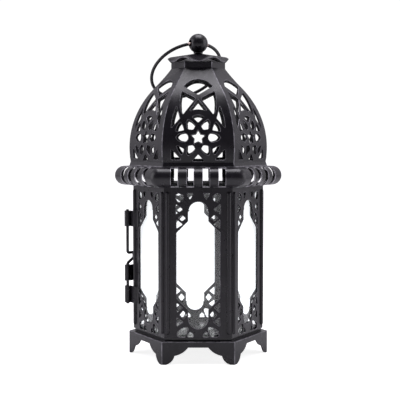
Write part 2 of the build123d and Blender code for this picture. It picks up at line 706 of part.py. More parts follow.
def main():
    os.makedirs("parts", exist_ok=True)
    write(base_stand(), "base_stand")
    write(floor_tray(), "floor_tray")

    fixed_panel = side_panel(0, 0, True)
    pane = glass_pane()
    clips = pane_clips()
    petal = dome_petal()
    fixed_clips = []
    for index, name in enumerate(FACE_NAMES):
        write(on_face(petal, index), "dome_petal_" + name)
        if name != DOOR_FACE:
            write(on_face(fixed_panel, index), "side_panel_" + name)
            write(on_face(pane, index), "glass_pane_" + name)
            fixed_clips += [on_face(clip, index) for clip in clips]
    write(fixed_clips, "pane_clips")

    door_index = FACE_NAMES.index(DOOR_FACE)
    write(on_face(side_panel(MOVING_GAP, MOVING_GAP, False), door_index), "door_panel")
    write(on_face(pane, door_index), "door_glass")
    write([on_face(clip, door_index) for clip in clips], "door_pane_clips")
    write(knuckle(UPPER_KNUCKLE_Z), "hinge_knuckle_upper")
    write(knuckle(LOWER_KNUCKLE_Z), "hinge_knuckle_lower")
    write(mirror(knuckle(DOOR_KNUCKLE_Z), about=Plane.XZ), "door_knuckle")
    write(hinge_pin(), "hinge_pin")
    write(door_catch(), "door_catch")

    write(body_top_plate(), "body_top_plate")
    write(gallery_band(), "gallery_band")
    write(dome_seat_ring(), "dome_seat_ring")
    write(dome_cap_plate(), "dome_cap_plate")
    crown = crown_disc()
    write(crown, "crown_disc")
    write(finial_washer(), "finial_washer")
    write(finial_ball(), "finial_ball")
    write(finial_stem(), "finial_stem")
    write(finial_nut(), "finial_nut")
    back_blanks = [on_face(petal_blank(), FACE_NAMES.index(name)) for name in ("back", "back_left")]
    write(handle_ring(back_blanks + [crown]), "handle_ring")


if __name__ == "__main__":
    main()
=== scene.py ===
"""Looks of a hexagonal pierced-metal candle lantern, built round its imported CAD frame.

Every piece is made in metres, in the frame of the CAD model: +Z is up, the front face looks along -Y
and the hinged corner is at -X.  Each sub-assembly is a class with its sizes as fields, in millimetres.
"""
import json
import logging
import math
from dataclasses import dataclass, field
from enum import Enum
from typing import Callable, Iterable, Sequence

import bmesh
import bpy
from mathutils import Matrix, Vector


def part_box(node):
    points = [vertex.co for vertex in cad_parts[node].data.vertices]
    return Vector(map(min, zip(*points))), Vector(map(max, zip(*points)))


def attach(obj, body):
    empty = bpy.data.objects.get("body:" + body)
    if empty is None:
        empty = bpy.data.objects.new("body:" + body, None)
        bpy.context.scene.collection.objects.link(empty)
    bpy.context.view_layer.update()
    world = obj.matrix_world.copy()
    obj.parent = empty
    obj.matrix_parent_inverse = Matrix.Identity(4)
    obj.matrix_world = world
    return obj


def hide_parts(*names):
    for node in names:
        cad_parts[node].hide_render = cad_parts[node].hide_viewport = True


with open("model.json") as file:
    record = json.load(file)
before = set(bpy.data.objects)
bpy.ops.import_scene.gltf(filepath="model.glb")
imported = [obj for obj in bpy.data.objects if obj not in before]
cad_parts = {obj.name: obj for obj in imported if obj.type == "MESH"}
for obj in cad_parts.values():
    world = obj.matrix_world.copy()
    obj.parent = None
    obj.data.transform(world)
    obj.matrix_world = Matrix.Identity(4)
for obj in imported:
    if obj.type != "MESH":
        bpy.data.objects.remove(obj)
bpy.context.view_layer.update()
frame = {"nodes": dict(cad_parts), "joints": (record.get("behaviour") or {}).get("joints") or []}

LOG = logging.getLogger("lantern")
MM = 0.001
SIDES = 6
SECTOR = math.radians(360 / SIDES)
FLAT_RATIO = math.cos(SECTOR / 2)
UP = Vector((0.0, 0.0, 1.0))
ORIGIN = (0.0, 0.0, 0.0)
MERGE_DISTANCE = 0.002 * MM
JOIN_DISTANCE = 0.01 * MM
CUT_DISTANCE = 1e-4 * MM
SKIN_MARGIN = 0.01
BASE_SLOT = 0
SECOND = 1
SHADING_WEIGHT = 60
SHARP_ANGLE = 60.0
WIRE_SEGMENTS = 20
BEND_STEPS = 7
NOISE_SPREAD = (0.3, 0.7)
PATCH_STOPS = (0.35, 0.65)


class Face(Enum):
    """The six faces of the lantern, by their turn from the front face."""

    FRONT = 0
    FRONT_RIGHT = 1
    BACK_RIGHT = 2
    BACK = 3
    BACK_LEFT = 4
    FRONT_LEFT = 5

    @property
    def label(self) -> str:
        """The face's name as it stands in the names of the CAD nodes."""
        return self.name.lower()

    @property
    def turn(self) -> Matrix:
        """The rotation that carries a piece from the front face to this one."""
        return Matrix.Rotation(self.value * SECTOR, 3, "Z")


DOOR = Face.BACK_LEFT


class Body(Enum):
    """The rigid bodies that a piece can ride on."""

    LANTERN = "lantern"
    DOOR = "door"
    HANDLE = "handle"


# ---- finishes ----------------------------------------------------------------------------------


class NodeTree:
    """A small helper that adds and joins the shader nodes of one material."""

    def __init__(self, name: str) -> None:
        """Start a new material.

        Args:
            name: The material's name.
        """
        self.material = bpy.data.materials.new(name)
        self.material.use_nodes = True
        self.tree = self.material.node_tree
        self.shader = self.tree.nodes["Principled BSDF"]

    def add(self, kind: str, **values: object) -> bpy.types.Node:
        """Add a node and set its properties.

        Args:
            kind: The node's type name.
            **values: Properties of the node, by name.

        Returns:
            The new node.
        """
        node = self.tree.nodes.new(kind)
        for key, value in values.items():
            setattr(node, key, value)
        return node

    def link(self, start: bpy.types.NodeSocket, end: bpy.types.NodeSocket) -> None:
        """Join an output socket to an input socket."""
        self.tree.links.new(start, end)

    def set(self, **values: object) -> None:
        """Set uniform values on the shader's own sockets, with underscores for the spaces."""
        for key, value in values.items():
            self.shader.inputs[key.replace("_", " ")].default_value = value

    def noise(self, scale: float, detail: float, roughness: float = 0.5) -> bpy.types.NodeSocket:
        """Add a noise in object space.

        Args:
            scale: Features per metre.
            detail: Number of octaves.
            roughness: How strong the finer octaves are.

        Returns:
            The noise's factor socket.
        """
        place = self.add("ShaderNodeTexCoord")
        noise = self.add("ShaderNodeTexNoise")
        noise.inputs["Scale"].default_value = scale
        noise.inputs["Detail"].default_value = detail
        noise.inputs["Roughness"].default_value = roughness
        self.link(place.outputs["Object"], noise.inputs["Vector"])
        return noise.outputs["Fac"]

    def ramp(self, source: bpy.types.NodeSocket, low: float, high: float,
             start: Sequence[float], end: Sequence[float]) -> bpy.types.NodeSocket:
        """Turn a factor into a colour between two stops.

        Args:
            source: The factor.
            low: Factor at which the first colour ends.
            high: Factor at which the second colour is reached.
            start: First colour, as red, green, blue.
            end: Second colour.

        Returns:
            The colour socket.
        """
        ramp = self.add("ShaderNodeValToRGB")
        ramp.color_ramp.elements[0].position = low
        ramp.color_ramp.elements[1].position = high
        ramp.color_ramp.elements[0].color = (*start, 1.0)
        ramp.color_ramp.elements[1].color = (*end, 1.0)
        self.link(source, ramp.inputs["Fac"])
        return ramp.outputs["Color"]

    def span(self, source: bpy.types.NodeSocket, low: float, high: float) -> bpy.types.NodeSocket:
        """Spread a factor over a range of values.

        Args:
            source: The factor.
            low: Value at the low end of the noise.
            high: Value at its high end.

        Returns:
            The value's socket.
        """
        spread = self.add("ShaderNodeMapRange")
        spread.inputs["From Min"].default_value = NOISE_SPREAD[0]
        spread.inputs["From Max"].default_value = NOISE_SPREAD[1]
        spread.inputs["To Min"].default_value = low
        spread.inputs["To Max"].default_value = high
        self.link(source, spread.inputs["Value"])
        return spread.outputs["Result"]

    def bump(self, height: bpy.types.NodeSocket, depth: float, strength: float,
             under: bpy.types.NodeSocket | None = None) -> bpy.types.NodeSocket:
        """Add a bump over an optional earlier one.

        Args:
            height: The height's factor.
            depth: Distance in metres that a full step of the factor stands for.
            strength: Share of the bump that is kept.
            under: Normal of an earlier bump.

        Returns:
            The normal socket.
        """
        bump = self.add("ShaderNodeBump")
        bump.inputs["Distance"].default_value = depth
        bump.inputs["Strength"].default_value = strength
        self.link(height, bump.inputs["Height"])
        if under is not None:
            self.link(under, bump.inputs["Normal"])
        return bump.outputs["Normal"]


@dataclass(frozen=True)
class SatinBlack:
    """Sprayed satin black paint over stamped sheet or wire."""

    name: str = "satin_black_paint"
    dark: tuple[float, float, float] = (0.0100, 0.0088, 0.0122)
    light: tuple[float, float, float] = (0.0175, 0.0155, 0.0210)
    roughness: tuple[float, float] = (0.25, 0.35)
    peel_depth: float = 0.012
    wave_depth: float = 0.30
    mottle_scale: float = 55.0
    mottle_stops: tuple[float, float] = (0.35, 0.68)
    gloss_scale: float = 190.0
    wave_scale: float = 42.0
    peel_scale: float = 1500.0

    def material(self) -> bpy.types.Material:
        """Make the paint: mottled black, orange peel, and the faint waves of hand-pressed sheet.

        Returns:
            The material.
        """
        tree = NodeTree(self.name)
        mottle = tree.noise(self.mottle_scale, detail=5.0, roughness=0.6)
        paint = tree.ramp(mottle, *self.mottle_stops, self.dark, self.light)
        tree.link(paint, tree.shader.inputs["Base Color"])
        gloss = tree.noise(self.gloss_scale, detail=4.0)
        tree.link(tree.span(gloss, *self.roughness), tree.shader.inputs["Roughness"])
        waves = tree.bump(tree.noise(self.wave_scale, detail=2.0), self.wave_depth * MM, strength=0.55)
        peel = tree.bump(tree.noise(self.peel_scale, detail=3.0), self.peel_depth * MM, strength=0.6,
                         under=waves)
        tree.link(peel, tree.shader.inputs["Normal"])
        tree.set(Specular_IOR_Level=0.5, IOR=1.5, Coat_Weight=0.12, Coat_Roughness=0.22)
        return tree.material


@dataclass(frozen=True)
class RimHighlightAndThinPaint:
    """Pressed rims, seams and edges painted lighter: a painted highlight line, over paint drawn thin where
    the metal shows through.
    """

    name: str = "rim_painted_highlight_and_thin_paint"
    # dark and light: the pale, metallic colour of a painted highlight line along rims and edges, in patches
    dark: tuple[float, float, float] = (0.10, 0.097, 0.108)
    light: tuple[float, float, float] = (0.30, 0.29, 0.315)
    metal: float = 0.75
    roughness: tuple[float, float] = (0.32, 0.48)
    grain_depth: float = 0.006
    patch_scale: float = 260.0
    gloss_scale: float = 500.0
    grain_scale: float = 1800.0

    def material(self) -> bpy.types.Material:
        """Make the rims' painted highlight, patchy along its length.

        Returns:
            The material.
        """
        tree = NodeTree(self.name)
        patches = tree.noise(self.patch_scale, detail=4.0, roughness=0.6)
        tree.link(tree.ramp(patches, *PATCH_STOPS, self.dark, self.light), tree.shader.inputs["Base Color"])
        gloss = tree.noise(self.gloss_scale, detail=3.0)
        tree.link(tree.span(gloss, *self.roughness), tree.shader.inputs["Roughness"])
        grain = tree.bump(tree.noise(self.grain_scale, detail=2.0), self.grain_depth * MM, strength=0.5)
        tree.link(grain, tree.shader.inputs["Normal"])
        tree.set(Metallic=self.metal)
        return tree.material


@dataclass(frozen=True)
class GroundEdge:
    """Ground edge of a glass pane, dark grey green and dull."""

    name: str = "ground_glass_edge"
    dark: tuple[float, float, float] = (0.030, 0.045, 0.050)
    light: tuple[float, float, float] = (0.075, 0.105, 0.115)
    roughness: tuple[float, float] = (0.45, 0.7)
    streak_scale: float = 600.0
    gloss_scale: float = 900.0

    def material(self) -> bpy.types.Material:
        """Make the ground edge, streaked by the grinding.

        Returns:
            The material.
        """
        tree = NodeTree(self.name)
        streaks = tree.noise(self.streak_scale, detail=4.0, roughness=0.6)
        tree.link(tree.ramp(streaks, *PATCH_STOPS, self.dark, self.light), tree.shader.inputs["Base Color"])
        gloss = tree.noise(self.gloss_scale, detail=2.0)
        tree.link(tree.span(gloss, *self.roughness), tree.shader.inputs["Roughness"])
        return tree.material


@dataclass(frozen=True)
class ClearGlass:
    """Clear float glass with a trace of blue green."""

    name: str = "clear_glass"
    tint: tuple[float, float, float] = (0.972, 0.990, 0.992)
    wave_scale: float = 35.0
    wave_depth: float = 0.02

    def material(self) -> bpy.types.Material:
        """Make the glass, with the slight waviness of cheap cut panes.

        Returns:
            The material.
        """
        tree = NodeTree(self.name)
        tree.set(Base_Color=(*self.tint, 1.0), Roughness=0.0, IOR=1.5, Transmission_Weight=1.0)
        waves = tree.bump(tree.noise(self.wave_scale, detail=1.0), self.wave_depth * MM, strength=0.3)
        tree.link(waves, tree.shader.inputs["Normal"])
        return tree.material


@dataclass(frozen=True)
class Steel:
    """Bare or plated steel of small fasteners, lightly tarnished."""

    name: str = "plated_steel"
    dark: tuple[float, float, float] = (0.22, 0.20, 0.19)
    light: tuple[float, float, float] = (0.42, 0.39, 0.36)
    roughness: tuple[float, float] = (0.28, 0.5)
    grain_depth: float = 0.02
    blotch_scale: float = 420.0
    gloss_scale: float = 700.0
    grain_scale: float = 2600.0

    def material(self) -> bpy.types.Material:
        """Make the metal: blotched colour and uneven gloss.

        Returns:
            The material.
        """
        tree = NodeTree(self.name)
        blotches = tree.noise(self.blotch_scale, detail=5.0, roughness=0.7)
        tree.link(tree.ramp(blotches, *PATCH_STOPS, self.dark, self.light), tree.shader.inputs["Base Color"])
        gloss = tree.noise(self.gloss_scale, detail=3.0)
        tree.link(tree.span(gloss, *self.roughness), tree.shader.inputs["Roughness"])
        grain = tree.bump(tree.noise(self.grain_scale, detail=2.0), self.grain_depth * MM, strength=0.5)
        tree.link(grain, tree.shader.inputs["Normal"])
        tree.set(Metallic=1.0)
        return tree.material


@dataclass(frozen=True)
class PalePaper:
    """Matt white of the studio's floor, lit through from below as a light table is."""

    name: str = "pale_floor"
    shade: tuple[float, float, float] = (0.88, 0.88, 0.88)
    glow: float = 0.85
    mottle_scale: float = 9.0
    mottle_share: float = 0.985

    def material(self) -> bpy.types.Material:
        """Make the floor's finish, with the faintest mottling and a glow that only the eye sees.

        Returns:
            The material.
        """
        tree = NodeTree(self.name)
        darker = tuple(self.mottle_share * value for value in self.shade)
        mottle = tree.noise(self.mottle_scale, detail=3.0)
        tree.link(tree.ramp(mottle, *NOISE_SPREAD, darker, self.shade), tree.shader.inputs["Base Color"])
        tree.set(Roughness=0.85, Specular_IOR_Level=0.15, Emission_Color=(1.0, 1.0, 1.0, 1.0))
        path = tree.add("ShaderNodeLightPath")
        either = tree.add("ShaderNodeMath", operation="MAXIMUM")
        glow = tree.add("ShaderNodeMath", operation="MULTIPLY")
        glow.inputs[1].default_value = self.glow
        tree.link(path.outputs["Is Camera Ray"], either.inputs[0])
        tree.link(path.outputs["Is Transmission Ray"], either.inputs[1])
        tree.link(either.outputs["Value"], glow.inputs[0])
        tree.link(glow.outputs["Value"], tree.shader.inputs["Emission Strength"])
        return tree.material


@dataclass
class Finishes:
    """Every finish of the lantern, made once."""

    sheet: bpy.types.Material = field(default_factory=lambda: SatinBlack().material())
    wire: bpy.types.Material = field(default_factory=lambda: SatinBlack(
        "satin_black_wire", dark=(0.009, 0.0085, 0.0105), light=(0.0155, 0.0145, 0.018),
        roughness=(0.28, 0.40), peel_depth=0.004, wave_depth=0.05).material())
    tray: bpy.types.Material = field(default_factory=lambda: SatinBlack(
        "gloss_black_tray", dark=(0.009, 0.009, 0.011), light=(0.014, 0.0135, 0.017),
        roughness=(0.10, 0.19), peel_depth=0.006).material())
    turned: bpy.types.Material = field(default_factory=lambda: SatinBlack(
        "satin_black_turned", dark=(0.0085, 0.008, 0.0105), light=(0.013, 0.0125, 0.016),
        roughness=(0.24, 0.32), peel_depth=0.003, wave_depth=0.02).material())
    ground: bpy.types.Material = field(default_factory=lambda: GroundEdge().material())
    # rim: painted highlight line along hole rims, seams and stamped edges, over thinly painted metal
    rim: bpy.types.Material = field(default_factory=lambda: RimHighlightAndThinPaint().material())
    # lip: a brighter painted highlight along the gallery band's slot edges, over the same thinly painted
    # metal
    lip: bpy.types.Material = field(default_factory=lambda: RimHighlightAndThinPaint(
        "slot_lip_painted_highlight", dark=(0.30, 0.29, 0.32), light=(0.72, 0.70, 0.75),
        metal=0.9).material())
    glass: bpy.types.Material = field(default_factory=lambda: ClearGlass().material())
    steel: bpy.types.Material = field(default_factory=lambda: Steel().material())
    rubbed: bpy.types.Material = field(default_factory=lambda: Steel(
        "rubbed_bare_metal", dark=(0.30, 0.22, 0.20), light=(0.62, 0.50, 0.46)).material())


# ---- bench: turning a bmesh into a piece -------------------------------------------------------


@dataclass(frozen=True)
class Label:
    """What a piece is called, what it moves with, and what it stands for."""

    name: str
    body: Body
    slot: str
    nodes: tuple[str, ...] = ()


def set_creases(bm: bmesh.types.BMesh, degrees: float) -> None:
    """Shade every face smooth and keep the edges sharper than an angle.

    Args:
        bm: The mesh.
        degrees: Largest angle between two faces that is still shaded smooth.
    """
    limit = math.radians(degrees)
    for each in bm.faces:
        each.smooth = True
    for edge in bm.edges:
        edge.smooth = len(edge.link_faces) == 2 and edge.calc_face_angle(0.0) < limit


def make_piece(bm: bmesh.types.BMesh, label: Label, material: bpy.types.Material,
               crease: float = 32.0, weighted: bool = True,
               rim: bpy.types.Material | None = None) -> bpy.types.Object:
    """Close a bmesh off as a finished piece and hand it to its body.

    Args:
        bm: The mesh, which is freed.
        label: Name, body, slot and the CAD nodes it stands for.
        material: The piece's finish.
        crease: Largest angle in degrees that is shaded smooth.
        weighted: Whether wide faces govern the shading beside narrow ones.
        rim: Finish of the faces in the second slot, if it differs.

    Returns:
        The new object, at the origin.
    """
    bmesh.ops.remove_doubles(bm, verts=bm.verts[:], dist=MERGE_DISTANCE)
    bmesh.ops.dissolve_degenerate(bm, dist=MERGE_DISTANCE / 4, edges=bm.edges[:])
    bmesh.ops.recalc_face_normals(bm, faces=bm.faces[:])
    set_creases(bm, crease)
    mesh = bpy.data.meshes.new(label.name)
    open_edges = sum(1 for edge in bm.edges if len(edge.link_faces) != 2)
    bm.to_mesh(mesh)
    bm.free()
    mesh.materials.append(material)
    if rim is not None:
        mesh.materials.append(rim)
    piece = bpy.data.objects.new(label.name, mesh)
    bpy.context.scene.collection.objects.link(piece)
    if weighted:
        normals = piece.modifiers.new("even_shading", "WEIGHTED_NORMAL")
        normals.keep_sharp = True
        normals.weight = SHADING_WEIGHT
    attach(piece, label.body.value)
    if label.nodes:
        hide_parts(*label.nodes)
    LOG.info("%s: %d faces, %d open edges", label.name, len(mesh.polygons), open_edges)
    return piece


def turned(bm: bmesh.types.BMesh, face: Face) -> bmesh.types.BMesh:
    """Copy a bmesh and turn the copy from the front face to another.

    Args:
        bm: The bmesh on the front face.
        face: The face that the copy turns to.

    Returns:
        The turned copy.
    """
    copy = bm.copy()
    bmesh.ops.rotate(copy, verts=copy.verts[:], cent=ORIGIN, matrix=face.turn)
    return copy


def everything(bm: bmesh.types.BMesh) -> list:
    """All vertices, edges and faces of a bmesh, as the operators take them."""
    return bm.verts[:] + bm.edges[:] + bm.faces[:]


def cut_across(bm: bmesh.types.BMesh, axis: Vector, places: Iterable[float]) -> None:
    """Cut a mesh along planes square to an axis.

    Args:
        bm: The mesh.
        axis: The planes' common normal.
        places: Distances of the planes from the origin, in metres.
    """
    for place in places:
        bmesh.ops.bisect_plane(bm, geom=everything(bm), dist=CUT_DISTANCE, plane_co=axis * place,
                               plane_no=axis)


def trim(bm: bmesh.types.BMesh, point: Vector, outwards: Vector) -> list[bmesh.types.BMEdge]:
    """Cut away what lies beyond a plane and close the cut.

    Args:
        bm: The mesh.
        point: A point on the plane.
        outwards: The plane's normal, towards the side that is cut away.

    Returns:
        The edges round the cut.
    """
    cut = bmesh.ops.bisect_plane(bm, geom=everything(bm), dist=CUT_DISTANCE, plane_co=point,
                                 plane_no=outwards, clear_outer=True)
    edges = [part for part in cut["geom_cut"] if isinstance(part, bmesh.types.BMEdge)]
    bmesh.ops.holes_fill(bm, edges=edges, sides=0)
    return [edge for edge in edges if edge.is_valid]


def soften(bm: bmesh.types.BMesh, edges: Sequence[bmesh.types.BMEdge], width: float, segments: int = 2,
           slot: int = -1) -> None:
    """Round a set of edges.

    Args:
        bm: The mesh.
        edges: The edges.
        width: Width of the rounding in metres.
        segments: Number of steps across it.
        slot: Material slot of the rounding, or -1 for the one beside it.
    """
    bmesh.ops.bevel(bm, geom=list(edges), offset=width, offset_type="OFFSET", segments=segments,
                    profile=0.5, affect="EDGES", clamp_overlap=True, material=slot)


def sharp_edges(bm: bmesh.types.BMesh, degrees: float) -> list[bmesh.types.BMEdge]:
    """The edges at which two faces meet at more than an angle."""
    limit = math.radians(degrees)
    return [edge for edge in bm.edges if len(edge.link_faces) == 2 and edge.calc_face_angle(0.0) > limit]


# ---- pierced sheet -----------------------------------------------------------------------------


@dataclass(frozen=True)
class Hole:
    """One opening of a pierced sheet, in millimetres from the pattern's middle, anticlockwise.

    Each bow says how far the side after its corner swells outwards.
    """

    corners: tuple[tuple[float, float], ...]
    rounding: float = 0.55
    bows: tuple[float, ...] = ()
    paired: bool = True
    steps: int = 7
    corner_steps: int = 3
    straight_share: float = 0.3

    def outline(self, centre_z: float) -> list[Vector]:
        """Draw the hole with its bowed sides and rounded corners.

        Args:
            centre_z: Height of the pattern's middle, in millimetres.

        Returns:
            The outline's points, in metres, on the plane y = 0.
        """
        bm = bmesh.new()
        places = [Vector((x * MM, 0.0, (centre_z + z) * MM)) for x, z in self.corners]
        bm.faces.new([bm.verts.new(place) for place in places])
        if self.rounding:
            bmesh.ops.bevel(bm, geom=bm.verts[:], offset=self.rounding * MM, offset_type="OFFSET",
                            segments=self.corner_steps, profile=0.5, affect="VERTICES",
                            clamp_overlap=True, material=-1)
        bm.faces.ensure_lookup_table()
        points = [vert.co.copy() for vert in bm.faces[0].verts]
        bm.free()
        for start, end, bow in zip(places, places[1:] + places[:1], self.bows):
            if bow:
                points = self.bow_side(points, start, end, bow * MM)
        return points

    def bow_side(self, points: list[Vector], start: Vector, end: Vector, bow: float) -> list[Vector]:
        """Replace what is left of one straight side by an arc.

        Args:
            points: The outline so far.
            start: First corner of the side, before rounding.
            end: Last corner of the side, before rounding.
            bow: How far the side's middle moves outwards, in metres.

        Returns:
            The outline with its arc.
        """
        run = (end - start).normalized()
        out = Vector((run.z, 0.0, -run.x))
        for k, (first, last) in enumerate(zip(points, points[1:] + points[:1])):
            on_side = max(abs((first - start).dot(out)), abs((last - start).dot(out))) < MERGE_DISTANCE
            if on_side and (last - first).dot(run) > self.straight_share * (end - start).length:
                half = (last - first).length / 2
                spread = 2 * math.atan(bow / half)
                radius = half / math.sin(spread)
                turns = [spread * (2 * step / self.steps - 1) for step in range(1, self.steps)]
                middle = (first + last) / 2 - out * radius * math.cos(spread)
                arc = [middle + run * radius * math.sin(turn) + out * radius * math.cos(turn)
                       for turn in turns]
                return points[:k + 1] + arc + points[k + 1:]
        return points


def mirrored(points: Sequence[Vector]) -> list[Vector]:
    """The outline on the other side of the middle line, still anticlockwise."""
    return [Vector((-point.x, point.y, point.z)) for point in reversed(points)]


@dataclass(frozen=True)
class PiercedSheet:
    """A flat sheet with rounded-over holes, before it is bent to its place."""

    half_width: float
    low: float
    high: float
    thickness: float = 0.7
    # rim steps that fall less than this take the painted highlight finish
    lip_fall: float = 0.2
    rim_steps: tuple[tuple[float, float], ...] = ((0.15, -0.12), (0.10, 0.0), (0.15, 0.13), (0.12, 0.22))

    def build(self, holes: Sequence[Hole], centre_z: float, aside: float = 0.0) -> bmesh.types.BMesh:
        """Punch the holes, round their rims and give the sheet its thickness.

        Args:
            holes: The openings of the right half and of the middle.
            centre_z: Height of the pattern's middle, in millimetres.
            aside: How far the whole pattern sits off the sheet's middle, in millimetres.

        Returns:
            The sheet, with its front on y = 0 and its back at y = thickness.
        """
        bm = bmesh.new()
        for hole in holes:
            points = hole.outline(centre_z)
            self.punch(bm, points)
            if hole.paired:
                self.punch(bm, mirrored(points))
        bmesh.ops.translate(bm, verts=bm.verts[:], vec=(aside * MM, 0.0, 0.0))
        corners = [(-self.half_width, self.low), (self.half_width, self.low),
                   (self.half_width, self.high), (-self.half_width, self.high)]
        frame_verts = [bm.verts.new((x * MM, 0.0, z * MM)) for x, z in corners]
        for start, end in zip(frame_verts, frame_verts[1:] + frame_verts[:1]):
            bm.edges.new((start, end))
        outer = [edge for edge in bm.edges
                 if len(edge.link_faces) < 2 and all(vert.co.y == 0.0 for vert in edge.verts)]
        bmesh.ops.triangle_fill(bm, use_beauty=True, use_dissolve=False, edges=outer, normal=(0, -1, 0))
        back = bmesh.ops.extrude_face_region(bm, geom=bm.faces[:], use_keep_orig=True)
        for part in back["geom"]:
            if isinstance(part, bmesh.types.BMVert):
                part.co.y = self.thickness * MM
        return bm

    def punch(self, bm: bmesh.types.BMesh, points: Sequence[Vector]) -> None:
        """Add one hole's rim: a low lip, then a fall to the hole's edge.

        Args:
            bm: The sheet.
            points: The hole's outline on the plane y = 0.
        """
        width = sum(step for step, _ in self.rim_steps)
        inner = bm.faces.new([bm.verts.new(point) for point in grown(points, width * MM)])
        for step, fall in self.rim_steps:
            made = bmesh.ops.inset_individual(bm, faces=[inner], thickness=step * MM, depth=0.0,
                                              use_even_offset=True)
            bmesh.ops.translate(bm, verts=inner.verts[:], vec=(0.0, fall * MM, 0.0))
            # the shallow lip faces take the second finish: a painted highlight line round every hole
            for face in made["faces"]:
                face.material_index = SECOND if fall < self.lip_fall else BASE_SLOT
        bmesh.ops.delete(bm, geom=[inner], context="FACES_ONLY")


def grown(points: Sequence[Vector], width: float, sharpest: float = 0.5, reach: float = 1.6) -> list[Vector]:
    """Widen an anticlockwise outline on the plane y = 0.

    Args:
        points: The outline.
        width: How far every side moves outwards, in metres.
        sharpest: Smallest cosine of half a corner's turn that is followed.
        reach: Most that a corner moves, as a share of the width.

    Returns:
        The wider outline.
    """
    wider = []
    for before, here, after in zip(points[-1:] + points[:-1], points, points[1:] + points[:1]):
        arriving, leaving = (here - before).normalized(), (after - here).normalized()
        along = (arriving + leaving).normalized()
        out = Vector((along.z, 0.0, -along.x))
        wider.append(here + out * min(width / max(along.dot(leaving), sharpest), reach * width))
    return wider


def mitre(bm: bmesh.types.BMesh, gap: float, band: float = 0.0, fall: float = 0.0,
          is_skin: Callable[[bmesh.types.BMVert], bool] | None = None) -> None:
    """Cut a front piece back to its sixth of the hexagon, and turn its outer skin down at both cuts.

    Args:
        bm: The piece.
        gap: Room left at each edge, in millimetres.
        band: Width of the turned-down band, in millimetres.
        fall: How far the skin falls at the cut, in millimetres.
        is_skin: Whether a vertex belongs to the outer skin.
    """
    for side in (-1, 1):
        outwards = Vector((side * math.cos(SECTOR / 2), math.sin(SECTOR / 2), 0.0))
        if band:
            cut_across(bm, outwards, [-(gap + band) * MM])
        trim(bm, outwards * (-gap * MM), outwards)
        if is_skin is None:
            continue
        reach = -(gap + band + SKIN_MARGIN) * MM
        skin = [vert for vert in bm.verts if vert.co.dot(outwards) > reach and is_skin(vert)]
        members = set(skin)
        # the turned-down skin band takes the second finish: a painted highlight line along each seam
        for each in bm.faces:
            if all(vert in members for vert in each.verts):
                each.material_index = SECOND
        for vert in skin:
            if vert.co.dot(outwards) > -(gap + SKIN_MARGIN) * MM:
                vert.co.y += fall * MM


# ---- side panels and door ----------------------------------------------------------------------


def window_hole() -> Hole:
    """The tall window: an arch at each end, short necks and 45 degree shoulders.

    Returns:
        The opening.
    """
    return Hole(
        corners=((6.3, -36.1), (6.3, -29.9), (13.8, -22.4), (13.8, 19.7), (6.3, 27.2), (6.3, 33.4),
                 (-6.3, 33.4), (-6.3, 27.2), (-13.8, 19.7), (-13.8, -22.4), (-6.3, -29.9), (-6.3, -36.1)),
        rounding=0.35, bows=(0, 0, 0, 0, 0, 6.2, 0, 0, 0, 0, 0, 6.2), paired=False, steps=15)


PANEL_HOLES = (
    window_hole(),
    # upper corner: petal, small triangle, triangle, diamond, long triangle
    Hole(((9.4, 42.4), (12.0, 39.4), (14.1, 41.6), (14.1, 44.6), (11.0, 44.6)), 0.8, (0.5, 0.3, 0, 0.3, 0.3)),
    Hole(((3.6, 45.1), (5.3, 41.4), (7.1, 45.1)), 0.45, (0.2, 0.2, 0)),
    Hole(((10.2, 34.9), (14.1, 32.0), (14.1, 37.9)), 0.45),
    Hole(((8.3, 29.1), (10.4, 27.5), (12.5, 29.3), (10.4, 31.1)), 0.4),
    Hole(((10.2, 25.2), (13.8, 22.8), (13.8, 28.1)), 0.45),
    # lower corner: leaf, small house, triangle, diamond, long triangle
    Hole(((8.4, -47.7), (12.3, -47.7), (13.4, -46.3), (13.2, -44.6), (11.2, -42.9), (6.8, -41.5),
          (6.5, -42.8)), 0.6, (0, 0.2, 0, 0.2, 0.3, 0, 0)),
    Hole(((3.4, -47.7), (6.6, -47.7), (6.6, -46.2), (5.0, -44.5), (3.4, -46.2)), 0.4),
    Hole(((10.0, -38.0), (13.7, -40.6), (13.7, -35.4)), 0.45),
    Hole(((7.7, -33.4), (9.7, -35.8), (11.7, -33.4), (9.7, -30.9)), 0.4),
    Hole(((10.5, -28.7), (13.7, -31.4), (13.7, -26.0)), 0.45),
)


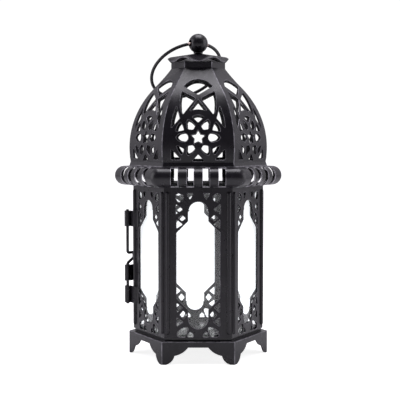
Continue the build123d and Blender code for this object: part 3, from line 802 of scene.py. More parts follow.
@dataclass(frozen=True)
class SidePanels:
    """The five fixed panels and the door: pierced sheet with a bead down each edge."""

    bead_radius: float = 1.3
    bead_from_corner: float = 2.25
    bead_end_margin: float = 2.4
    seam_gap: float = 0.02
    door_gap: float = 0.35
    spare: float = 1.0
    back_aside: float = 2.3
    pattern_middle: float = 65.4
    bead_steps: int = 6

    def build(self, finishes: Finishes) -> None:
        """Make all six panels.

        Args:
            finishes: The lantern's finishes.
        """
        low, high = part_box("door_panel")
        bottom, top = low.z / MM, high.z / MM + self.door_gap
        front_low, front_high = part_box("side_panel_front")
        flat = -front_low.y / MM - self.bead_radius
        for face in Face:
            is_door = face is DOOR
            aside = self.back_aside if face is Face.BACK else 0.0
            panel = self.panel(flat, front_high.x / MM, bottom, top, is_door, aside)
            node = "door_panel" if is_door else "side_panel_" + face.label
            body = Body.DOOR if is_door else Body.LANTERN
            label = Label("pierced_" + node, body, "black_paint", (node,))
            make_piece(turned(panel, face), label, finishes.sheet, rim=finishes.rim)
            panel.free()

    def panel(self, flat: float, half: float, bottom: float, top: float, is_door: bool,
              aside: float) -> bmesh.types.BMesh:
        """Make one panel on the front face.

        Args:
            flat: Distance of the panel's outer face from the axis.
            half: Half the width of the face between its corners.
            bottom: Height of the lower edge.
            top: Height of the upper edge of a fixed panel.
            is_door: Whether the panel needs the door's room at its sides and its top.
            aside: How far the openings sit off the panel's middle.

        Returns:
            The panel's mesh.
        """
        sheet = PiercedSheet(half + self.spare, bottom, top - self.door_gap if is_door else top)
        bm = sheet.build(PANEL_HOLES, self.pattern_middle, aside)
        middle = half - self.bead_from_corner
        margin = self.bead_end_margin + self.bead_radius
        ends = (bottom + margin, top - margin)
        angles = [math.pi * k / (2 * self.bead_steps) for k in range(-self.bead_steps, self.bead_steps + 1)]
        across = [self.bead_radius * math.sin(angle) for angle in angles]
        for side in (-1, 1):
            cut_across(bm, Vector((1, 0, 0)), [(side * middle + step) * MM for step in across])
        cut_across(bm, UP, [(ends[0] + step) * MM for step in across if step <= 0])
        cut_across(bm, UP, [(ends[1] + step) * MM for step in across if step >= 0])
        for vert in bm.verts:
            off = min(abs(vert.co.x / MM - middle), abs(vert.co.x / MM + middle))
            past = max(ends[0] - vert.co.z / MM, vert.co.z / MM - ends[1], 0.0)
            rise = math.sqrt(max(self.bead_radius ** 2 - off ** 2 - past ** 2, 0.0))
            vert.co.y -= (flat + rise) * MM
        mitre(bm, self.door_gap if is_door else self.seam_gap)
        return bm


# ---- glass -------------------------------------------------------------------------------------


@dataclass(frozen=True)
class GlassPanes:
    """Six clear panes with dulled edges."""

    edge: float = 0.18
    crease: float = 20.0
    facing: float = 0.99

    def build(self, finishes: Finishes) -> None:
        """Make the panes from the size of the front one.

        Args:
            finishes: The lantern's finishes.
        """
        low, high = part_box("glass_pane_front")
        bm = bmesh.new()
        bmesh.ops.create_cube(bm, size=1.0)
        bmesh.ops.scale(bm, verts=bm.verts[:], vec=high - low)
        bmesh.ops.translate(bm, verts=bm.verts[:], vec=(low + high) / 2)
        soften(bm, bm.edges[:], self.edge * MM, 1)
        bm.normal_update()
        for each in bm.faces:
            each.material_index = BASE_SLOT if abs(each.normal.y) > self.facing else SECOND
        for face in Face:
            is_door = face is DOOR
            node = "door_glass" if is_door else "glass_pane_" + face.label
            body = Body.DOOR if is_door else Body.LANTERN
            label = Label("clear_" + node, body, "clear_glass", (node,))
            make_piece(turned(bm, face), label, finishes.glass, self.crease, False, finishes.ground)
        bm.free()


# ---- dome --------------------------------------------------------------------------------------


@dataclass(frozen=True)
class Arc:
    """A stretch of circle in the plane of a petal's middle, in millimetres."""

    centre: tuple[float, float]
    radius: float
    outward: int

    @staticmethod
    def through(a: tuple[float, float], b: tuple[float, float], c: tuple[float, float]) -> "Arc":
        """The circle through three points, bulging outwards.

        Args:
            a: First point, as distance from the axis and height.
            b: Second point.
            c: Third point.

        Returns:
            The arc.
        """
        (ax, ay), (bx, by), (cx, cy) = a, b, c
        d = 2 * (ax * (by - cy) + bx * (cy - ay) + cx * (ay - by))
        sa, sb, sc = ax * ax + ay * ay, bx * bx + by * by, cx * cx + cy * cy
        x = (sa * (by - cy) + sb * (cy - ay) + sc * (ay - by)) / d
        y = (sa * (cx - bx) + sb * (ax - cx) + sc * (bx - ax)) / d
        return Arc((x, y), math.hypot(ax - x, ay - y), 1)

    def onwards(self, start: tuple[float, float], end: tuple[float, float]) -> "Arc":
        """The hollow arc that leaves this one smoothly at a point and reaches another.

        Args:
            start: The point on this arc, as distance from the axis and height.
            end: The point to reach.

        Returns:
            The hollow arc.
        """
        nx = (start[0] - self.centre[0]) / self.radius
        ny = (start[1] - self.centre[1]) / self.radius
        dx, dy = end[0] - start[0], end[1] - start[1]
        reach = (dx * dx + dy * dy) / (2 * (dx * nx + dy * ny))
        return Arc((start[0] + nx * reach, start[1] + ny * reach), abs(reach), -1)

    def flat(self, height: float) -> float:
        """Distance from the lantern's axis at a height."""
        lift = height - self.centre[1]
        return self.centre[0] + self.outward * math.sqrt(max(self.radius ** 2 - lift ** 2, 0.0))


def star_hole(radius: float = 4.6, inner_share: float = 0.53, points: int = 5) -> Hole:
    """The star at the rosette's middle, one point up.

    Args:
        radius: Distance from the middle to a point.
        inner_share: Distance to the corners between two points, as a share of the radius.
        points: Number of points.

    Returns:
        The opening.
    """
    corners = []
    for k in range(2 * points):
        reach = radius * (1 if k % 2 == 0 else inner_share)
        angle = math.pi / 2 + math.pi * k / points
        corners.append((reach * math.cos(angle), reach * math.sin(angle)))
    return Hole(tuple(corners), 0.35, (), False)


PETAL_HOLES = (
    star_hole(),
    # leaves round the star, then the small triangles outside them
    Hole(((6.4, 0.0), (7.4, -2.2), (10.0, -2.7), (14.3, 0.0), (10.0, 2.7), (7.4, 2.2)), 0.7,
         (0.1, 0.1, 0.5, 0.5, 0.1, 0.1)),
    Hole(((2.0, 7.6), (3.3, 5.1), (6.6, 5.5), (7.2, 8.0), (6.6, 11.5)), 0.7, (0, 0, 0.2, 0.3, 0.4)),
    Hole(((6.6, -11.5), (7.2, -8.0), (6.6, -5.5), (3.3, -5.1), (2.0, -7.6)), 0.7, (0.3, 0.2, 0, 0, 0.4)),
    Hole(((9.2, 4.8), (14.2, 4.0), (11.3, 9.8)), 0.6, (0, 0.5, 0.2)),
    Hole(((10.6, -11.0), (13.8, -5.2), (9.2, -7.4)), 0.6, (0.3, 0, 0.2)),
    Hole(((17.2, -14.0), (17.2, -7.6), (11.3, -14.0)), 0.6, (0, 0, 0)),
    # the tall opening at the seam and the big one above it
    Hole(((12.0, 12.3), (17.1, 6.5), (13.9, 19.8)), 0.4, (0, 0.5, 0)),
    Hole(((9.8, 15.0), (11.4, 21.0), (10.5, 29.6), (1.9, 25.2)), 0.6, (0.5, 0.3, 0, 0)),
    # down the middle: over the star, under it, then the two at the top
    Hole(((0.0, 9.8), (3.7, 13.3), (-3.7, 13.3)), 0.5, (0, 0.9, 0), False),
    Hole(((-3.4, -15.0), (3.4, -15.0), (0.0, -11.0)), 0.5, (0, 0, 0), False),
    Hole(((-5.3, 17.4), (5.3, 17.4), (0.0, 24.2)), 0.6, (-0.9, 0, 0), False),
    Hole(((0.0, 27.8), (9.4, 33.5), (-9.4, 33.5)), 0.6, (0, 4.2, 0), False, 13),
)


@dataclass(frozen=True)
class Dome:
    """Six pierced petals that rise from the gallery in a bulge and flare into the neck."""

    foot_flat: float = 39.7
    lip_height: float = 3.0
    lip_edge: float = 0.7
    belly: tuple[float, float] = (39.3, 24.0)
    shoulder: tuple[float, float] = (25.2, 52.8)
    neck: tuple[float, float] = (15.9, 65.0)
    rosette_height: float = 19.0
    level: float = 1.4
    seam_gap: float = 0.10
    seam_band: float = 0.30
    seam_fall: float = 0.26
    spare: float = 1.0
    slope_step: float = 0.05
    skin_tolerance: float = 0.03

    def build(self, finishes: Finishes) -> None:
        """Make the six petals.

        Args:
            finishes: The lantern's finishes.
        """
        low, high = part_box("dome_petal_front")
        petal = self.petal(low.z / MM, high.z / MM, -low.y / MM)
        for face in Face:
            node = "dome_petal_" + face.label
            label = Label("pierced_" + node, Body.LANTERN, "black_paint", (node,))
            make_piece(turned(petal, face), label, finishes.sheet, rim=finishes.rim)
        petal.free()

    def petal(self, bottom: float, top: float, lip_flat: float) -> bmesh.types.BMesh:
        """Make one petal on the front face.

        Args:
            bottom: Height of the foot of the dome.
            top: Height of the top of the neck.
            lip_flat: Distance of the lip from the axis.

        Returns:
            The petal's mesh.
        """
        sheet = PiercedSheet(lip_flat * math.tan(SECTOR / 2) + self.spare, bottom, top)
        bm = sheet.build(PETAL_HOLES, bottom + self.rosette_height)
        levels = int((top - bottom) / self.level)
        heights = [bottom + self.level * k for k in range(1, levels + 1)]
        heights += [bottom + self.lip_edge, bottom + self.lip_height, bottom + self.neck[1]]
        cut_across(bm, UP, [height * MM for height in heights])
        # the foot's lip takes the second finish: a painted highlight line along the dome's foot
        for each in bm.faces:
            if all(vert.co.z < (bottom + self.lip_edge) * MM + MERGE_DISTANCE for vert in each.verts):
                each.material_index = SECOND
        curve = self.curve(lip_flat)
        for vert in bm.verts:
            height, depth = vert.co.z / MM - bottom, vert.co.y
            flat = curve(height)
            rise = curve(height + self.slope_step) - curve(height - self.slope_step)
            slope = rise / (2 * self.slope_step)
            inwards = Vector((0.0, 1.0, slope)).normalized()
            vert.co = Vector((vert.co.x, -flat * MM, vert.co.z)) + inwards * depth
        mitre(bm, self.seam_gap, self.seam_band, self.seam_fall,
              lambda vert: self.is_outer(vert, bottom, curve))
        return bm

    def curve(self, lip_flat: float) -> Callable[[float], float]:
        """The petal's distance from the axis as a function of the height above its foot.

        Args:
            lip_flat: Distance of the lip from the axis.

        Returns:
            The function.
        """
        main = Arc.through((self.foot_flat, self.lip_height), self.belly, self.shoulder)
        flare = main.onwards(self.shoulder, self.neck)

        def flat(height: float) -> float:
            """Distance from the axis at one height.

            Args:
                height: Height above the foot.

            Returns:
                The distance.
            """
            if height < self.lip_height:
                share = height / self.lip_height
                return lip_flat + (self.foot_flat - lip_flat) * share
            if height < self.shoulder[1]:
                return main.flat(height)
            if height < self.neck[1]:
                return flare.flat(height)
            return self.neck[0]

        return flat

    def is_outer(self, vert: bmesh.types.BMVert, bottom: float, curve: Callable[[float], float]) -> bool:
        """Whether a vertex lies on the petal's outer skin."""
        return abs(-vert.co.y / MM - curve(vert.co.z / MM - bottom)) < self.skin_tolerance


# ---- gallery band ------------------------------------------------------------------------------


@dataclass(frozen=True)
class GalleryBand:
    """The bulging band round the foot of the dome, with four slots a side."""

    bulge: float = 6.4
    sheet: float = 0.7
    seat_flat: float = 36.5
    slot_width: float = 4.3
    slot_pitch: float = 10.1
    slots: int = 4
    arc_steps: int = 24
    corner_steps: int = 8
    slot_end: int = 2
    edge: float = 0.28
    sharp: float = 50.0
    flange_room: float = 1.0

    def build(self, finishes: Finishes) -> None:
        """Make the band as one closed piece.

        Args:
            finishes: The lantern's finishes.
        """
        low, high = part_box("gallery_band")
        flat = -low.y / MM - self.bulge
        centre_z = (low.z + high.z) / 2 / MM
        bm = bmesh.new()
        unit = self.side(flat, centre_z)
        spare = bpy.data.meshes.new("gallery_side")
        for face in Face:
            copy = turned(unit, face)
            copy.to_mesh(spare)
            copy.free()
            bm.from_mesh(spare)
        unit.free()
        bpy.data.meshes.remove(spare)
        bmesh.ops.remove_doubles(bm, verts=bm.verts[:], dist=JOIN_DISTANCE)
        self.flanges(bm, flat, centre_z)
        bmesh.ops.recalc_face_normals(bm, faces=bm.faces[:])
        bmesh.ops.solidify(bm, geom=bm.faces[:], thickness=self.sheet * MM)
        bmesh.ops.remove_doubles(bm, verts=bm.verts[:], dist=MERGE_DISTANCE)
        past_flange = (flat + self.flange_room) * MM
        slot_edges = [edge for edge in sharp_edges(bm, self.sharp)
                      if min(math.hypot(vert.co.x, vert.co.y) for vert in edge.verts) > past_flange]
        # the rounded slot edges take the second finish: a bright painted highlight along every bar
        soften(bm, slot_edges, self.edge * MM, 2, SECOND)
        label = Label("slotted_gallery_band", Body.LANTERN, "black_paint", ("gallery_band",))
        make_piece(bm, label, finishes.sheet, rim=finishes.lip)

    def side(self, flat: float, centre_z: float) -> bmesh.types.BMesh:
        """Bend the half-round strip of one side and its right-hand corner.

        Args:
            flat: Distance of the bulge's centre line from the axis.
            centre_z: Height of the bulge's centre line.

        Returns:
            The strip's open skin, with its slots cut.
        """
        half = flat * math.tan(SECTOR / 2)
        first = (self.slots - 1) / 2 * self.slot_pitch
        stops = [-half]
        for k in range(self.slots):
            middle = k * self.slot_pitch - first
            stops += [middle - self.slot_width / 2, middle + self.slot_width / 2]
        stops.append(half)
        bm = bmesh.new()
        top = bm.verts.new((-half * MM, -flat * MM, (centre_z + self.bulge) * MM))
        bmesh.ops.spin(bm, geom=[top], cent=(-half * MM, -flat * MM, centre_z * MM), axis=(1, 0, 0),
                       angle=math.pi, steps=self.arc_steps, use_duplicate=False)
        profile = bm.edges[:]
        for start, end in zip(stops, stops[1:]):
            swept = bmesh.ops.extrude_edge_only(bm, edges=profile)
            moved = [part for part in swept["geom"] if isinstance(part, bmesh.types.BMVert)]
            bmesh.ops.translate(bm, verts=moved, vec=((end - start) * MM, 0, 0))
            profile = [part for part in swept["geom"] if isinstance(part, bmesh.types.BMEdge)
                       and all(vert in moved for vert in part.verts)]
        corner = Vector((half * MM, -flat * MM, centre_z * MM))
        bmesh.ops.spin(bm, geom=profile, cent=corner, axis=UP, angle=SECTOR, steps=self.corner_steps,
                       use_duplicate=False)
        bmesh.ops.remove_doubles(bm, verts=bm.verts[:], dist=MERGE_DISTANCE)
        limit = self.bulge * math.cos(math.pi * self.slot_end / self.arc_steps)
        slots = [face for face in bm.faces if self.in_slot(face, first, centre_z, limit)]
        bmesh.ops.delete(bm, geom=slots, context="FACES")
        return bm

    def in_slot(self, face: bmesh.types.BMFace, first: float, centre_z: float, limit: float) -> bool:
        """Whether a face of the bulge lies in one of the slots.

        Args:
            face: The face.
            first: Distance from the first slot's middle to the middle of the side.
            centre_z: Height of the bulge's middle.
            limit: How far a slot reaches above and below that.

        Returns:
            True inside a slot.
        """
        middle = face.calc_center_median() / MM
        if abs(middle.z - centre_z) > limit:
            return False
        places = [k * self.slot_pitch - first for k in range(self.slots)]
        return any(abs(middle.x - place) < self.slot_width / 2 for place in places)

    def flanges(self, bm: bmesh.types.BMesh, flat: float, centre_z: float) -> None:
        """Turn the bulge's two rims inwards as flat flanges.

        Args:
            bm: The joined bulge.
            flat: Distance of the bulge's centre line from the axis.
            centre_z: Height of the bulge's centre line.
        """
        limit = (self.bulge - SKIN_MARGIN) * MM
        rims = [edge for edge in bm.edges if edge.is_boundary
                and all(abs(vert.co.z - centre_z * MM) > limit for vert in edge.verts)]
        swept = bmesh.ops.extrude_edge_only(bm, edges=rims)
        moved = [part for part in swept["geom"] if isinstance(part, bmesh.types.BMVert)]
        share = self.seat_flat / flat
        bmesh.ops.scale(bm, verts=moved, vec=(share, share, 1.0))


# ---- base stand --------------------------------------------------------------------------------


@dataclass(frozen=True)
class BaseStand:
    """Stamped plinth on six corner feet."""

    sheet: float = 0.7
    top_half: float = 6.5
    top_z: float = 11.2
    cusp_from_corner: float = 8.3
    cusp_z: float = 5.8
    foot_half: float = 2.6
    ogee_bow: float = 1.0
    lobe_bow: float = 1.2
    bow_steps: int = 9
    edge_round: float = 0.5
    shortest_corner: float = 5.0

    def build(self, finishes: Finishes) -> None:
        """Make the stand from its skirt's outline.

        Args:
            finishes: The lantern's finishes.
        """
        low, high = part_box("base_stand")
        corner_radius, height = high.x / MM, high.z / MM
        flat = corner_radius * FLAT_RATIO
        outline = self.skirt(corner_radius / 2, height)
        bm = bmesh.new()
        for face in Face:
            points = [face.turn @ Vector((point.x, -flat * MM, point.z)) for point in outline]
            bm.faces.new([bm.verts.new(point) for point in points])
        bmesh.ops.remove_doubles(bm, verts=bm.verts[:], dist=JOIN_DISTANCE)
        rim = [edge for edge in bm.edges
               if all(abs(vert.co.z - height * MM) < MERGE_DISTANCE for vert in edge.verts)]
        bmesh.ops.contextual_create(bm, geom=rim)
        corners = [edge for edge in bm.edges if len(edge.link_faces) == 2
                   and abs(edge.verts[0].co.z - edge.verts[1].co.z) > self.shortest_corner * MM]
        bmesh.ops.recalc_face_normals(bm, faces=bm.faces[:])
        # the rounded top rim and corners take the second finish: a painted highlight line along the stand's
        # edges
        soften(bm, rim + corners, self.edge_round * MM, 3, SECOND)
        bmesh.ops.recalc_face_normals(bm, faces=bm.faces[:])
        bmesh.ops.solidify(bm, geom=bm.faces[:], thickness=self.sheet * MM)
        label = Label("stamped_base_stand", Body.LANTERN, "black_paint", ("base_stand",))
        make_piece(bm, label, finishes.sheet, rim=finishes.rim)

    def skirt(self, half: float, height: float) -> list[Vector]:
        """Outline of one side of the skirt, with its cut-out between two feet.

        Args:
            half: Half the side's length.
            height: Height of the stand.

        Returns:
            The outline's points, in metres.
        """
        cusp = half - self.cusp_from_corner
        foot = half - self.foot_half
        corners = ((half, 0.0), (half, height), (-half, height), (-half, 0.0),
                   (-foot, 0.0), (-cusp, self.cusp_z), (-self.top_half, self.top_z),
                   (self.top_half, self.top_z), (cusp, self.cusp_z), (foot, 0.0))
        bows = (0, 0, 0, 0, self.lobe_bow, self.ogee_bow, 0, self.ogee_bow, self.lobe_bow, 0)
        return Hole(corners, 0.0, bows, False, self.bow_steps).outline(0.0)


# ---- crown, finial and handle ------------------------------------------------------------------


@dataclass(frozen=True)
class CrownDisc:
    """Thin disc over the neck, whose edge waves up over the corners and down over the faces."""

    sheet: float = 0.6
    hub: float = 1.6
    crest_radius: float = 20.7
    trough_radius: float = 19.4
    crest_drop: float = 2.8
    trough_drop: float = 6.0
    lip_share: float = 0.88
    lip_drop: float = 0.9
    rings: int = 18
    steps: int = 144
    crease: float = 50.0
    edge_share: float = 0.96
    edge_tilt: float = 0.7
    edge_area: float = 1.2

    def build(self, finishes: Finishes) -> None:
        """Make the disc by spinning its radius and waving the result.

        Args:
            finishes: The lantern's finishes.
        """
        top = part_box("crown_disc")[1].z / MM
        bm = bmesh.new()
        last = bm.verts.new((self.hub * MM, 0.0, 0.0))
        for k in range(1, self.rings + 1):
            reach = self.hub + (1.0 - self.hub / self.crest_radius) * self.crest_radius * k / self.rings
            point = bm.verts.new((reach * MM, 0.0, 0.0))
            bm.edges.new((last, point))
            last = point
        bmesh.ops.spin(bm, geom=everything(bm), cent=ORIGIN, axis=UP, angle=math.tau,
                       steps=self.steps, use_merge=True, use_duplicate=False)
        for vert in bm.verts:
            reach = math.hypot(vert.co.x, vert.co.y) / MM
            share = (reach - self.hub) / (self.crest_radius - self.hub)
            wave = (1 + math.cos(SIDES * math.atan2(vert.co.y, vert.co.x))) / 2
            radius = self.trough_radius + (self.crest_radius - self.trough_radius) * wave
            drop = self.trough_drop + (self.crest_drop - self.trough_drop) * wave
            scale = (self.hub + share * (radius - self.hub)) / reach
            vert.co.x *= scale
            vert.co.y *= scale
            lip = max(0.0, (share - self.lip_share) / (1 - self.lip_share)) ** 2
            vert.co.z = (top - drop * share - self.lip_drop * wave * lip) * MM
        bmesh.ops.recalc_face_normals(bm, faces=bm.faces[:])
        bmesh.ops.solidify(bm, geom=bm.faces[:], thickness=self.sheet * MM)
        bm.normal_update()
        # small steep faces at the edge take the second finish: a painted highlight line along the disc's rim
        for face in bm.faces:
            middle = face.calc_center_median()
            at_edge = math.hypot(middle.x, middle.y) > self.edge_share * self.trough_radius * MM
            is_small = face.calc_area() < self.edge_area * MM * MM
            if at_edge and is_small and abs(face.normal.z) < self.edge_tilt:
                face.material_index = SECOND
        label = Label("waved_crown_disc", Body.LANTERN, "black_paint", ("crown_disc",))
        make_piece(bm, label, finishes.sheet, crease=self.crease, rim=finishes.rim)


@dataclass(frozen=True)
class Finial:
    """Turned ball, bored across for the ring, on its washer."""

    radius: float = 6.5
    bore: float = 2.2
    seat_drop: float = 5.9
    washer_radius: float = 3.2
    washer_edge: float = 0.25
    segments: int = 64
    rings: int = 48
    washer_segments: int = 48

    def build(self, paint: bpy.types.Material, axis: Vector) -> None:
        """Make the ball and the washer.

        Args:
            paint: Their finish.
            axis: Direction of the ball's cross bore.
        """
        low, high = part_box("finial_ball")
        centre = Vector((0, 0, high.z - self.radius * MM))
        bm = bmesh.new()
        bmesh.ops.create_uvsphere(bm, u_segments=self.segments, v_segments=self.rings,
                                  radius=self.radius * MM)
        bored = [vert for vert in bm.verts if math.hypot(vert.co.x, vert.co.y) < self.bore * MM]
        bmesh.ops.delete(bm, geom=bored, context="VERTS")
        rims = [edge for edge in bm.edges if edge.is_boundary]
        for vert in {vert for edge in rims for vert in edge.verts}:
            scale = self.bore * MM / math.hypot(vert.co.x, vert.co.y)
            vert.co.x *= scale
            vert.co.y *= scale
        bmesh.ops.bridge_loops(bm, edges=rims)
        turn = UP.rotation_difference(axis).to_matrix()
        bmesh.ops.rotate(bm, verts=bm.verts[:], cent=ORIGIN, matrix=turn)
        trim(bm, -UP * self.seat_drop * MM, -UP)
        bmesh.ops.translate(bm, verts=bm.verts[:], vec=centre)
        make_piece(bm, Label("turned_finial_ball", Body.LANTERN, "black_paint", ("finial_ball",)), paint)
        self.washer(paint)

    def washer(self, paint: bpy.types.Material) -> None:
        """Make the washer under the ball from the place of its CAD node.

        Args:
            paint: Its finish.
        """
        low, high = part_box("finial_washer")
        bm = bmesh.new()
        bmesh.ops.create_cone(bm, cap_ends=True, segments=self.washer_segments,
                              radius1=self.washer_radius * MM, radius2=self.washer_radius * MM,
                              depth=high.z - low.z)
        bmesh.ops.translate(bm, verts=bm.verts[:], vec=(0, 0, (low.z + high.z) / 2))
        soften(bm, sharp_edges(bm, SHARP_ANGLE), self.washer_edge * MM, 3)
        label = Label("turned_finial_washer", Body.LANTERN, "fastener_steel", ("finial_washer",))
        make_piece(bm, label, paint)


@dataclass(frozen=True)
class HandleRing:
    """The wire ring that swings in the ball."""

    radius: float = 24.9
    wire: float = 1.1
    lean: float = 46.0
    rubbed_reach: float = 8.2
    steps: int = 144

    def build(self, paint: bpy.types.Material, rubbed: bpy.types.Material, pivot: Vector,
              axis: Vector) -> None:
        """Make the ring at rest, leaning to the back left.

        Args:
            paint: Its finish.
            rubbed: Finish of the short stretch that the ball has rubbed bare.
            pivot: Centre of the ball's bore.
            axis: Direction of the bore.
        """
        lean = math.radians(self.lean)
        across = UP.cross(axis)
        fall = across * math.sin(lean) - UP * math.cos(lean)
        centre = pivot + fall * self.radius * MM
        bm = bmesh.new()
        wire = bmesh.ops.create_circle(bm, cap_ends=False, segments=WIRE_SEGMENTS, radius=self.wire * MM)
        spin_axis = axis.cross(fall)
        turn = Matrix((axis, fall, spin_axis)).transposed()
        tilt = Matrix.Rotation(math.pi / 2, 3, "X")
        bmesh.ops.rotate(bm, verts=wire["verts"], cent=ORIGIN, matrix=tilt)
        bmesh.ops.translate(bm, verts=wire["verts"], vec=(self.radius * MM, 0, 0))
        bmesh.ops.spin(bm, geom=everything(bm), cent=ORIGIN, axis=UP, angle=math.tau, steps=self.steps,
                       use_merge=True, use_duplicate=False)
        bmesh.ops.rotate(bm, verts=bm.verts[:], cent=ORIGIN, matrix=turn)
        bmesh.ops.translate(bm, verts=bm.verts[:], vec=centre)
        for face in bm.faces:
            if (face.calc_center_median() - pivot).length < self.rubbed_reach * MM:
                face.material_index = SECOND
        label = Label("wire_handle_ring", Body.HANDLE, "blackened_wire", ("handle_ring",))
        make_piece(bm, label, paint, weighted=False, rim=rubbed)


# ---- door hardware -----------------------------------------------------------------------------


@dataclass(frozen=True)
class HingeHardware:
    """Three rolled knuckles and the bent wire that the door turns on."""

    knuckle_radius: float = 2.05
    sheet: float = 0.62
    wire: float = 0.975
    from_corner: float = 4.0
    leaf_length: float = 8.4
    step_start: float = 4.7
    kink_reach: float = 5.8
    kink_angle: float = 48.0
    kink_top: float = 68.2
    kink_bottom: float = 64.6
    return_z: float = 61.2
    bend: float = 1.4
    roll: float = 318.0
    roll_steps: int = 30
    strip_edge: float = 0.12
    wire_end: float = 0.45

    def build(self, paint: bpy.types.Material, wire_paint: bpy.types.Material) -> None:
        """Make the knuckles and the wire.

        Args:
            paint: Finish of the knuckles.
            wire_paint: Finish of the wire.
        """
        for node, body in (("hinge_knuckle_upper", Body.LANTERN), ("hinge_knuckle_lower", Body.LANTERN),
                           ("door_knuckle", Body.DOOR)):
            low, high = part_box(node)
            bm = self.knuckle(low.z, high.z)
            if body is Body.DOOR:
                bmesh.ops.scale(bm, verts=bm.verts[:], vec=(1, -1, 1))
            make_piece(bm, Label("rolled_" + node, body, "black_paint", (node,)), paint)
        self.pin(wire_paint)

    def knuckle(self, low: float, high: float) -> bmesh.types.BMesh:
        """Roll one knuckle from a strip whose leaf steps down onto the front-left face.

        Args:
            low: Height of its lower end, in metres.
            high: Height of its upper end, in metres.

        Returns:
            The knuckle's mesh.
        """
        axis_x = -frame_corner() - self.from_corner * MM
        along_axis = -self.from_corner * math.cos(SECTOR)
        rise = self.from_corner * math.sin(SECTOR) - self.knuckle_radius
        t = self.sheet
        stations = [((self.leaf_length, 0.0), (self.leaf_length, t)),
                    ((self.step_start + rise, 0.0), (self.step_start + rise + t / 2, t)),
                    ((self.step_start, rise), (self.step_start + t / 2, rise + t)),
                    ((along_axis, rise), (along_axis, rise + t))]
        bm = bmesh.new()
        section = [self.leaf_point(*point, low) for point in stations[0]]
        edge = bm.edges.new([bm.verts.new(point) for point in section])
        for station in stations[1:]:
            swept = bmesh.ops.extrude_edge_only(bm, edges=[edge])
            moved = [part for part in swept["geom"] if isinstance(part, bmesh.types.BMVert)]
            for vert in moved:
                nearest = min((0, 1), key=lambda k: (vert.co - section[k]).length)
                vert.co = self.leaf_point(*station[nearest], low)
            section = [self.leaf_point(*point, low) for point in station]
            edge = bm.edges.get(moved)
        bmesh.ops.spin(bm, geom=[edge, *edge.verts], cent=(axis_x, 0, low), axis=-UP,
                       angle=math.radians(self.roll), steps=self.roll_steps, use_duplicate=False)
        bmesh.ops.remove_doubles(bm, verts=bm.verts[:], dist=MERGE_DISTANCE)
        solid = bmesh.ops.extrude_face_region(bm, geom=bm.faces[:], use_keep_orig=True)
        moved = [part for part in solid["geom"] if isinstance(part, bmesh.types.BMVert)]
        bmesh.ops.translate(bm, verts=moved, vec=(0, 0, high - low))
        bmesh.ops.recalc_face_normals(bm, faces=bm.faces[:])
        soften(bm, sharp_edges(bm, SHARP_ANGLE), self.strip_edge * MM)
        return bm

    @staticmethod
    def leaf_point(along: float, outward: float, height: float) -> Vector:
        """A point near the left corner, measured in millimetres along and out from the front-left face.

        Args:
            along: Distance along the face from the corner.
            outward: Distance out from the face.
            height: The height, in metres.

        Returns:
            The point, in metres.
        """
        x = -frame_corner() + (along * math.cos(SECTOR) - outward * math.sin(SECTOR)) * MM
        y = (-along * math.sin(SECTOR) - outward * math.cos(SECTOR)) * MM
        return Vector((x, y, height))

    def pin(self, paint: bpy.types.Material) -> None:
        """Bend the hinge wire: straight, a kink beside the door's edge, straight again.

        Args:
            paint: Its finish.
        """
        low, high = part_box("hinge_pin")
        axis_x = -frame_corner() / MM - self.from_corner
        turn = math.radians(self.kink_angle)
        kink_x = axis_x + self.kink_reach * math.cos(turn)
        kink_y = self.kink_reach * math.sin(turn)
        points = [Vector((axis_x, 0, high.z / MM)), Vector((axis_x, 0, self.kink_top)),
                  Vector((kink_x, kink_y, self.kink_top)), Vector((kink_x, kink_y, self.kink_bottom)),
                  Vector((axis_x, 0, self.return_z)), Vector((axis_x, 0, low.z / MM))]
        rod = BentRod(self.wire, points[0], (points[1] - points[0]).normalized())
        for here, after in zip(points[1:-1], points[2:]):
            rod.turn_at(here, (after - here).normalized(), self.bend)
        rod.run_to(points[-1])
        bm = rod.bm
        bmesh.ops.recalc_face_normals(bm, faces=bm.faces[:])
        soften(bm, sharp_edges(bm, SHARP_ANGLE), self.wire_end * MM, 4)
        label = Label("bent_hinge_wire", Body.DOOR, "blackened_wire", ("hinge_pin",))
        make_piece(bm, label, paint, weighted=False)


